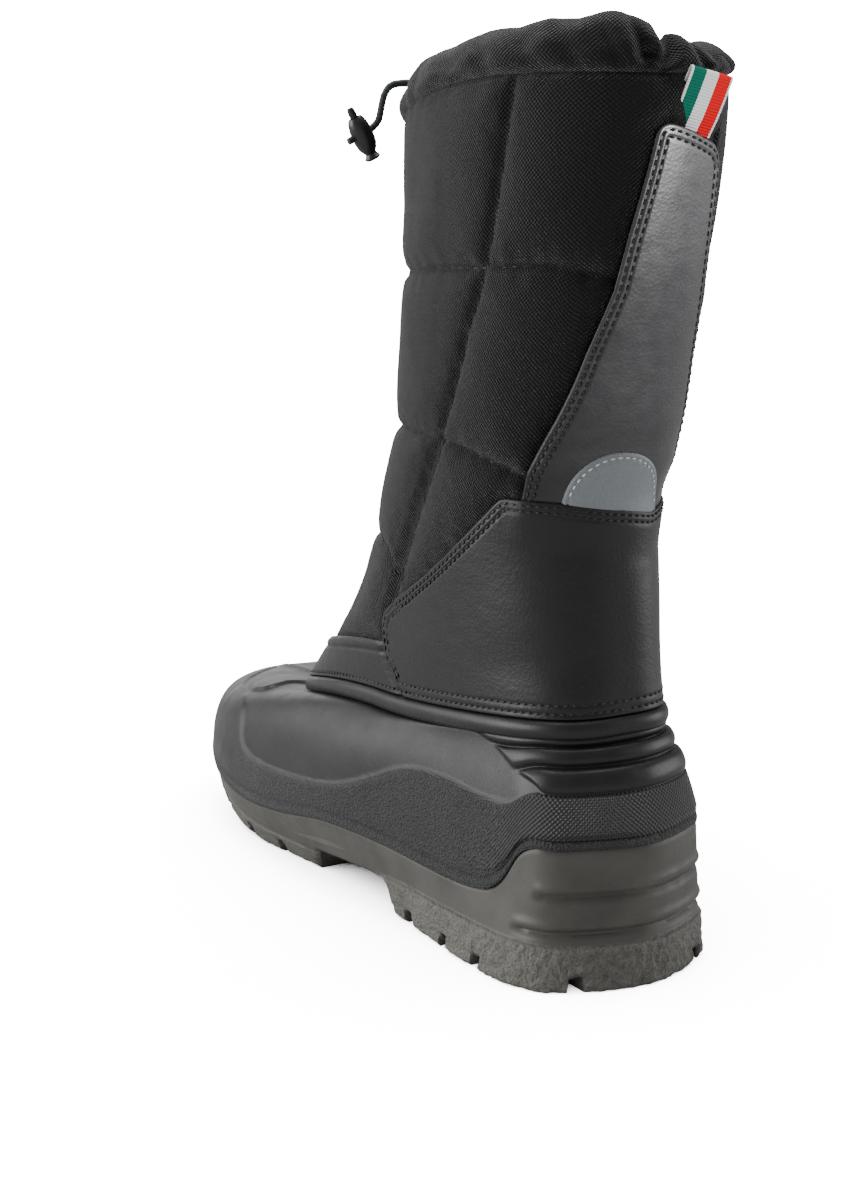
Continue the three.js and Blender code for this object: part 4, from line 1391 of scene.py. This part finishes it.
def lug_lift(y, x):
    """How far the tread is cut away at a place: grooves, channel, arch and heel notches."""
    lift = np.zeros(len(y))
    for groove in GROOVES:
        inwards = GROOVE_HALF - np.abs(y - groove)
        lift = np.maximum(lift, LUG_DEPTH * np.clip(inwards / GROOVE_SLOPE, 0, 1))
    inside = ((y > 30) & (y < 102)) | ((y > 162) & (y < 275))
    lift = np.maximum(lift, (LUG_DEPTH - 1) * inside * (np.abs(x) < 3.2))
    notch = (np.abs(np.abs(x) - 25) < 2.5) & (y < 26)
    lift = np.maximum(lift, notch * np.interp(y, [0, 26], [6.5, 1]))
    arch = np.interp(y, [101, 104, 156, 163], [0, 14, 10, 0])
    return np.maximum(lift, arch)


tread_t = np.linspace(0, 0.5, 3000)
tread_y = tread_outline(tread_t)[:, 1]
edges = [groove + side * half for groove in GROOVES for side in (-1, 1) for half in (2.76, 1.94)]
edges += [26.0, 26.1, 30.0, 30.1, 100.9, 101, 104, 156, 163, 163.1, 274.9, 275]
cuts = np.interp(edges, tread_y, tread_t)
sole_stops = np.unique(np.round(np.concatenate([crowded(620), cuts, 1 - cuts]), 7))
print("columns round the sole:", len(sole_stops))

# %% Make the outsole
ACROSS = np.array([0, 3.1, 3.3, 10, 16, 22.4, 22.6, 25, 27.4, 27.6, 33, 40, 48, 56, 70.0])
WALL = np.linspace(0, 1, 58)
SOLE_ROWS = np.concatenate([np.arange(len(ACROSS)), len(ACROSS) - 1 + WALL[1:], [16, 17, 18]])
TREAD_TURN = 1.3
STEPS = table(
    ["ends", "fades", "groove", "depth", "width", "crown", "rise"],
    [[0.085, 0.1, 20.3, 1.7, 1.3, 23.4, 0.8], [0.062, 0.078, 33, 1.5, 1.4, 36.2, 0.7]],
)


def crumbs(wall):
    """The rough face of crepe rubber."""
    return ripple(wall, 2.2, 8) * 0.75 + ripple(wall, 6, 2) * 0.5


def wall_relief(t, z, top):
    """Height of the moulding on the side wall, and where it is crepe."""
    back = np.abs(from_back(t))
    heel = 1 - ease(back, 0.17, 0.24)
    band_top = 16.5 * heel + 9.0 * (1 - heel)
    crepe = (1 - ease(z, band_top - 1.5, band_top + 0.5)) * (0.35 + 0.65 * heel)
    relief = 0.9 * crepe - 0.5 * ease(z, top - 1.2, top)
    for ends, fades, groove, depth, width, crown, rise in zip(*STEPS.values()):
        moulding = rise * dent(z - crown, 1.6) - depth * dent(z - groove, width)
        relief += moulding * (1 - ease(back, ends, fades))
    return relief, crepe


def sole_place(t, stage):
    last = len(ACROSS) - 1
    zero = np.zeros(len(t))
    low = plan(tread_outline, t, 0, tread_height)
    high = plan(edge_outline, t, 0, edge_height(t))
    outwards = np.column_stack([plan_normal(edge_outline, t), zero])
    lift = lug_lift(low[:, 1], low[:, 0])
    height = np.maximum(high[:, 2] - low[:, 2], 1)
    start = np.clip(lift / height, 0, 0.9)
    f = np.maximum(start, np.clip(stage - last, 0, 1))
    wall = low + (high - low) * f[:, None]
    relief, crepe = wall_relief(t, wall[:, 2] - low[:, 2], high[:, 2] - low[:, 2])
    foot_turn = -TREAD_TURN * dent((f - start) * height, 0.9)
    wall = wall + outwards * (relief + crumbs(wall) * crepe + foot_turn)[:, None]

    ring = low + (high - low) * start[:, None]
    ring_relief, _ = wall_relief(t, ring[:, 2] - low[:, 2], high[:, 2] - low[:, 2])
    ring = ring + outwards * (ring_relief + crumbs(ring) * (lift < 3) - TREAD_TURN)[:, None]
    stop = ACROSS[np.clip(np.rint(stage), 0, last).astype(int)]
    reach = np.minimum(stop / np.maximum(np.abs(ring[:, 0]), 1e-6), 1)
    bottom = ring.copy()
    bottom[:, 0] = ring[:, 0] * reach
    bottom[:, 1] = low[:, 1] + (ring[:, 1] - low[:, 1]) * reach
    bottom[:, 2] = tread_height(low[:, 1]) + lug_lift(low[:, 1], bottom[:, 0])
    at_edge = reach >= 1
    bottom[at_edge] = ring[at_edge]

    lip = plan(edge_outline, t, -4, edge_height(t))
    bed = plan(edge_outline, t, -SOLE_LIP, bed_height)
    spine = (bed + plan(edge_outline, 1 - t, -SOLE_LIP, bed_height)) / 2
    spine[:, 2] = bed_height(spine[:, 1])
    placed = np.where((stage <= last)[:, None], bottom, wall)
    for key, values in ((16, lip), (17, bed), (18, spine)):
        placed = np.where((stage == key)[:, None], values, placed)
    return placed, {"crepe": np.where(stage < 15.5, crepe, 0)}


net = close_up(wrap(sole_stops, SOLE_ROWS, sole_place))
finish_piece("lugged_outsole", net, "sole rubber", replaces=["outsole"], sharp=40)

# %% [markdown]
# ## Floor and light
# A pale floor that runs far back, one large soft light overhead and fainter ones at the sides
# give the even, shadow-poor light of a product table. The back strip and the ribbon each have a
# small light of their own, as a product's trim often has, and the table is lit from above.

# %% Lay the floor
floor_form = bmesh.new()
bmesh.ops.create_grid(floor_form, x_segments=1, y_segments=1, size=6)
floor_mesh = bpy.data.meshes.new("floor")
floor_form.to_mesh(floor_mesh)
floor_form.free()
floor = bpy.data.objects.new("floor", floor_mesh)
bpy.context.collection.objects.link(floor)
paper = new_finish("pale floor", (0.86, 0.865, 0.87), 0.6, specular_ior_level=0)
seen = add(paper, "LightPath").outputs["Is Camera Ray"]
tint(paper, seen, (0.03, 0.03, 0.03), (0.86, 0.865, 0.87))
floor.data.materials.append(paper)

# %% Set the lights
world = bpy.data.worlds.new("studio")
bpy.context.scene.world = world
world.use_nodes = True
sky = world.node_tree
glow = sky.nodes["Background"]
glow.inputs["Color"].default_value = (0.97, 0.985, 1, 1)
sight = sky.nodes.new("ShaderNodeLightPath")
brightness = sky.nodes.new("ShaderNodeMapRange")
brightness.inputs["To Min"].default_value = 0.3
brightness.inputs["To Max"].default_value = 24
sky.links.new(sight.outputs["Is Camera Ray"], brightness.inputs["Value"])
sky.links.new(brightness.outputs["Result"], glow.inputs["Strength"])

LIGHTS = [
    ("overhead", (0.1, 0.2, 1.5), (0, 0, 0.1), 1.2, 19),
    ("key softbox", (-1.2, 1.3, 0.8), (0, 0, 0.1), 1.3, 13),
    ("left softbox", (-1.6, 0.4, 0.45), (0, 0, 0.12), 1.0, 22),
    ("back softbox", (1.2, -0.55, 0.35), (0, -0.1, 0.15), 0.8, 7),
    ("front softbox", (0.5, 1.8, 0.55), (0, 0, 0.1), 1.2, 5.5),
    ("strip light", (0.075, -0.37, 0.3), (0, -0.15, 0.285), 0.1, 3.4),
    ("ribbon light", (0, -0.4, 0.33), (0, -0.15, 0.29), 0.1, 0.35),
]
for name, place, aim, size, power in LIGHTS:
    lamp = bpy.data.lights.new(name, "AREA")
    lamp.size = size
    lamp.energy = power
    light = bpy.data.objects.new(name, lamp)
    light.location = place
    light.rotation_euler = (Vector(aim) - Vector(place)).to_track_quat("-Z", "Y").to_euler()
    bpy.context.collection.objects.link(light)


def only(name, piece):
    """A light of its own for one piece."""
    lit = bpy.data.collections.new(f"lit by {name}")
    lit.objects.link(piece)
    bpy.data.objects[name].light_linking.receiver_collection = lit


only("strip light", bpy.data.objects["back_strip_leather"])
only("ribbon light", bpy.data.objects["ribbon_loop"])
lamp = bpy.data.lights.new("table light", "SUN")
lamp.energy = 66
lamp.angle = 2.2
light = bpy.data.objects.new("table light", lamp)
bpy.context.collection.objects.link(light)
only("table light", floor)
print("lights:", len(LIGHTS) + 1)

# %% Finish
total = sum(len(piece.data.polygons) for piece in pieces)
print("faces in all:", total)
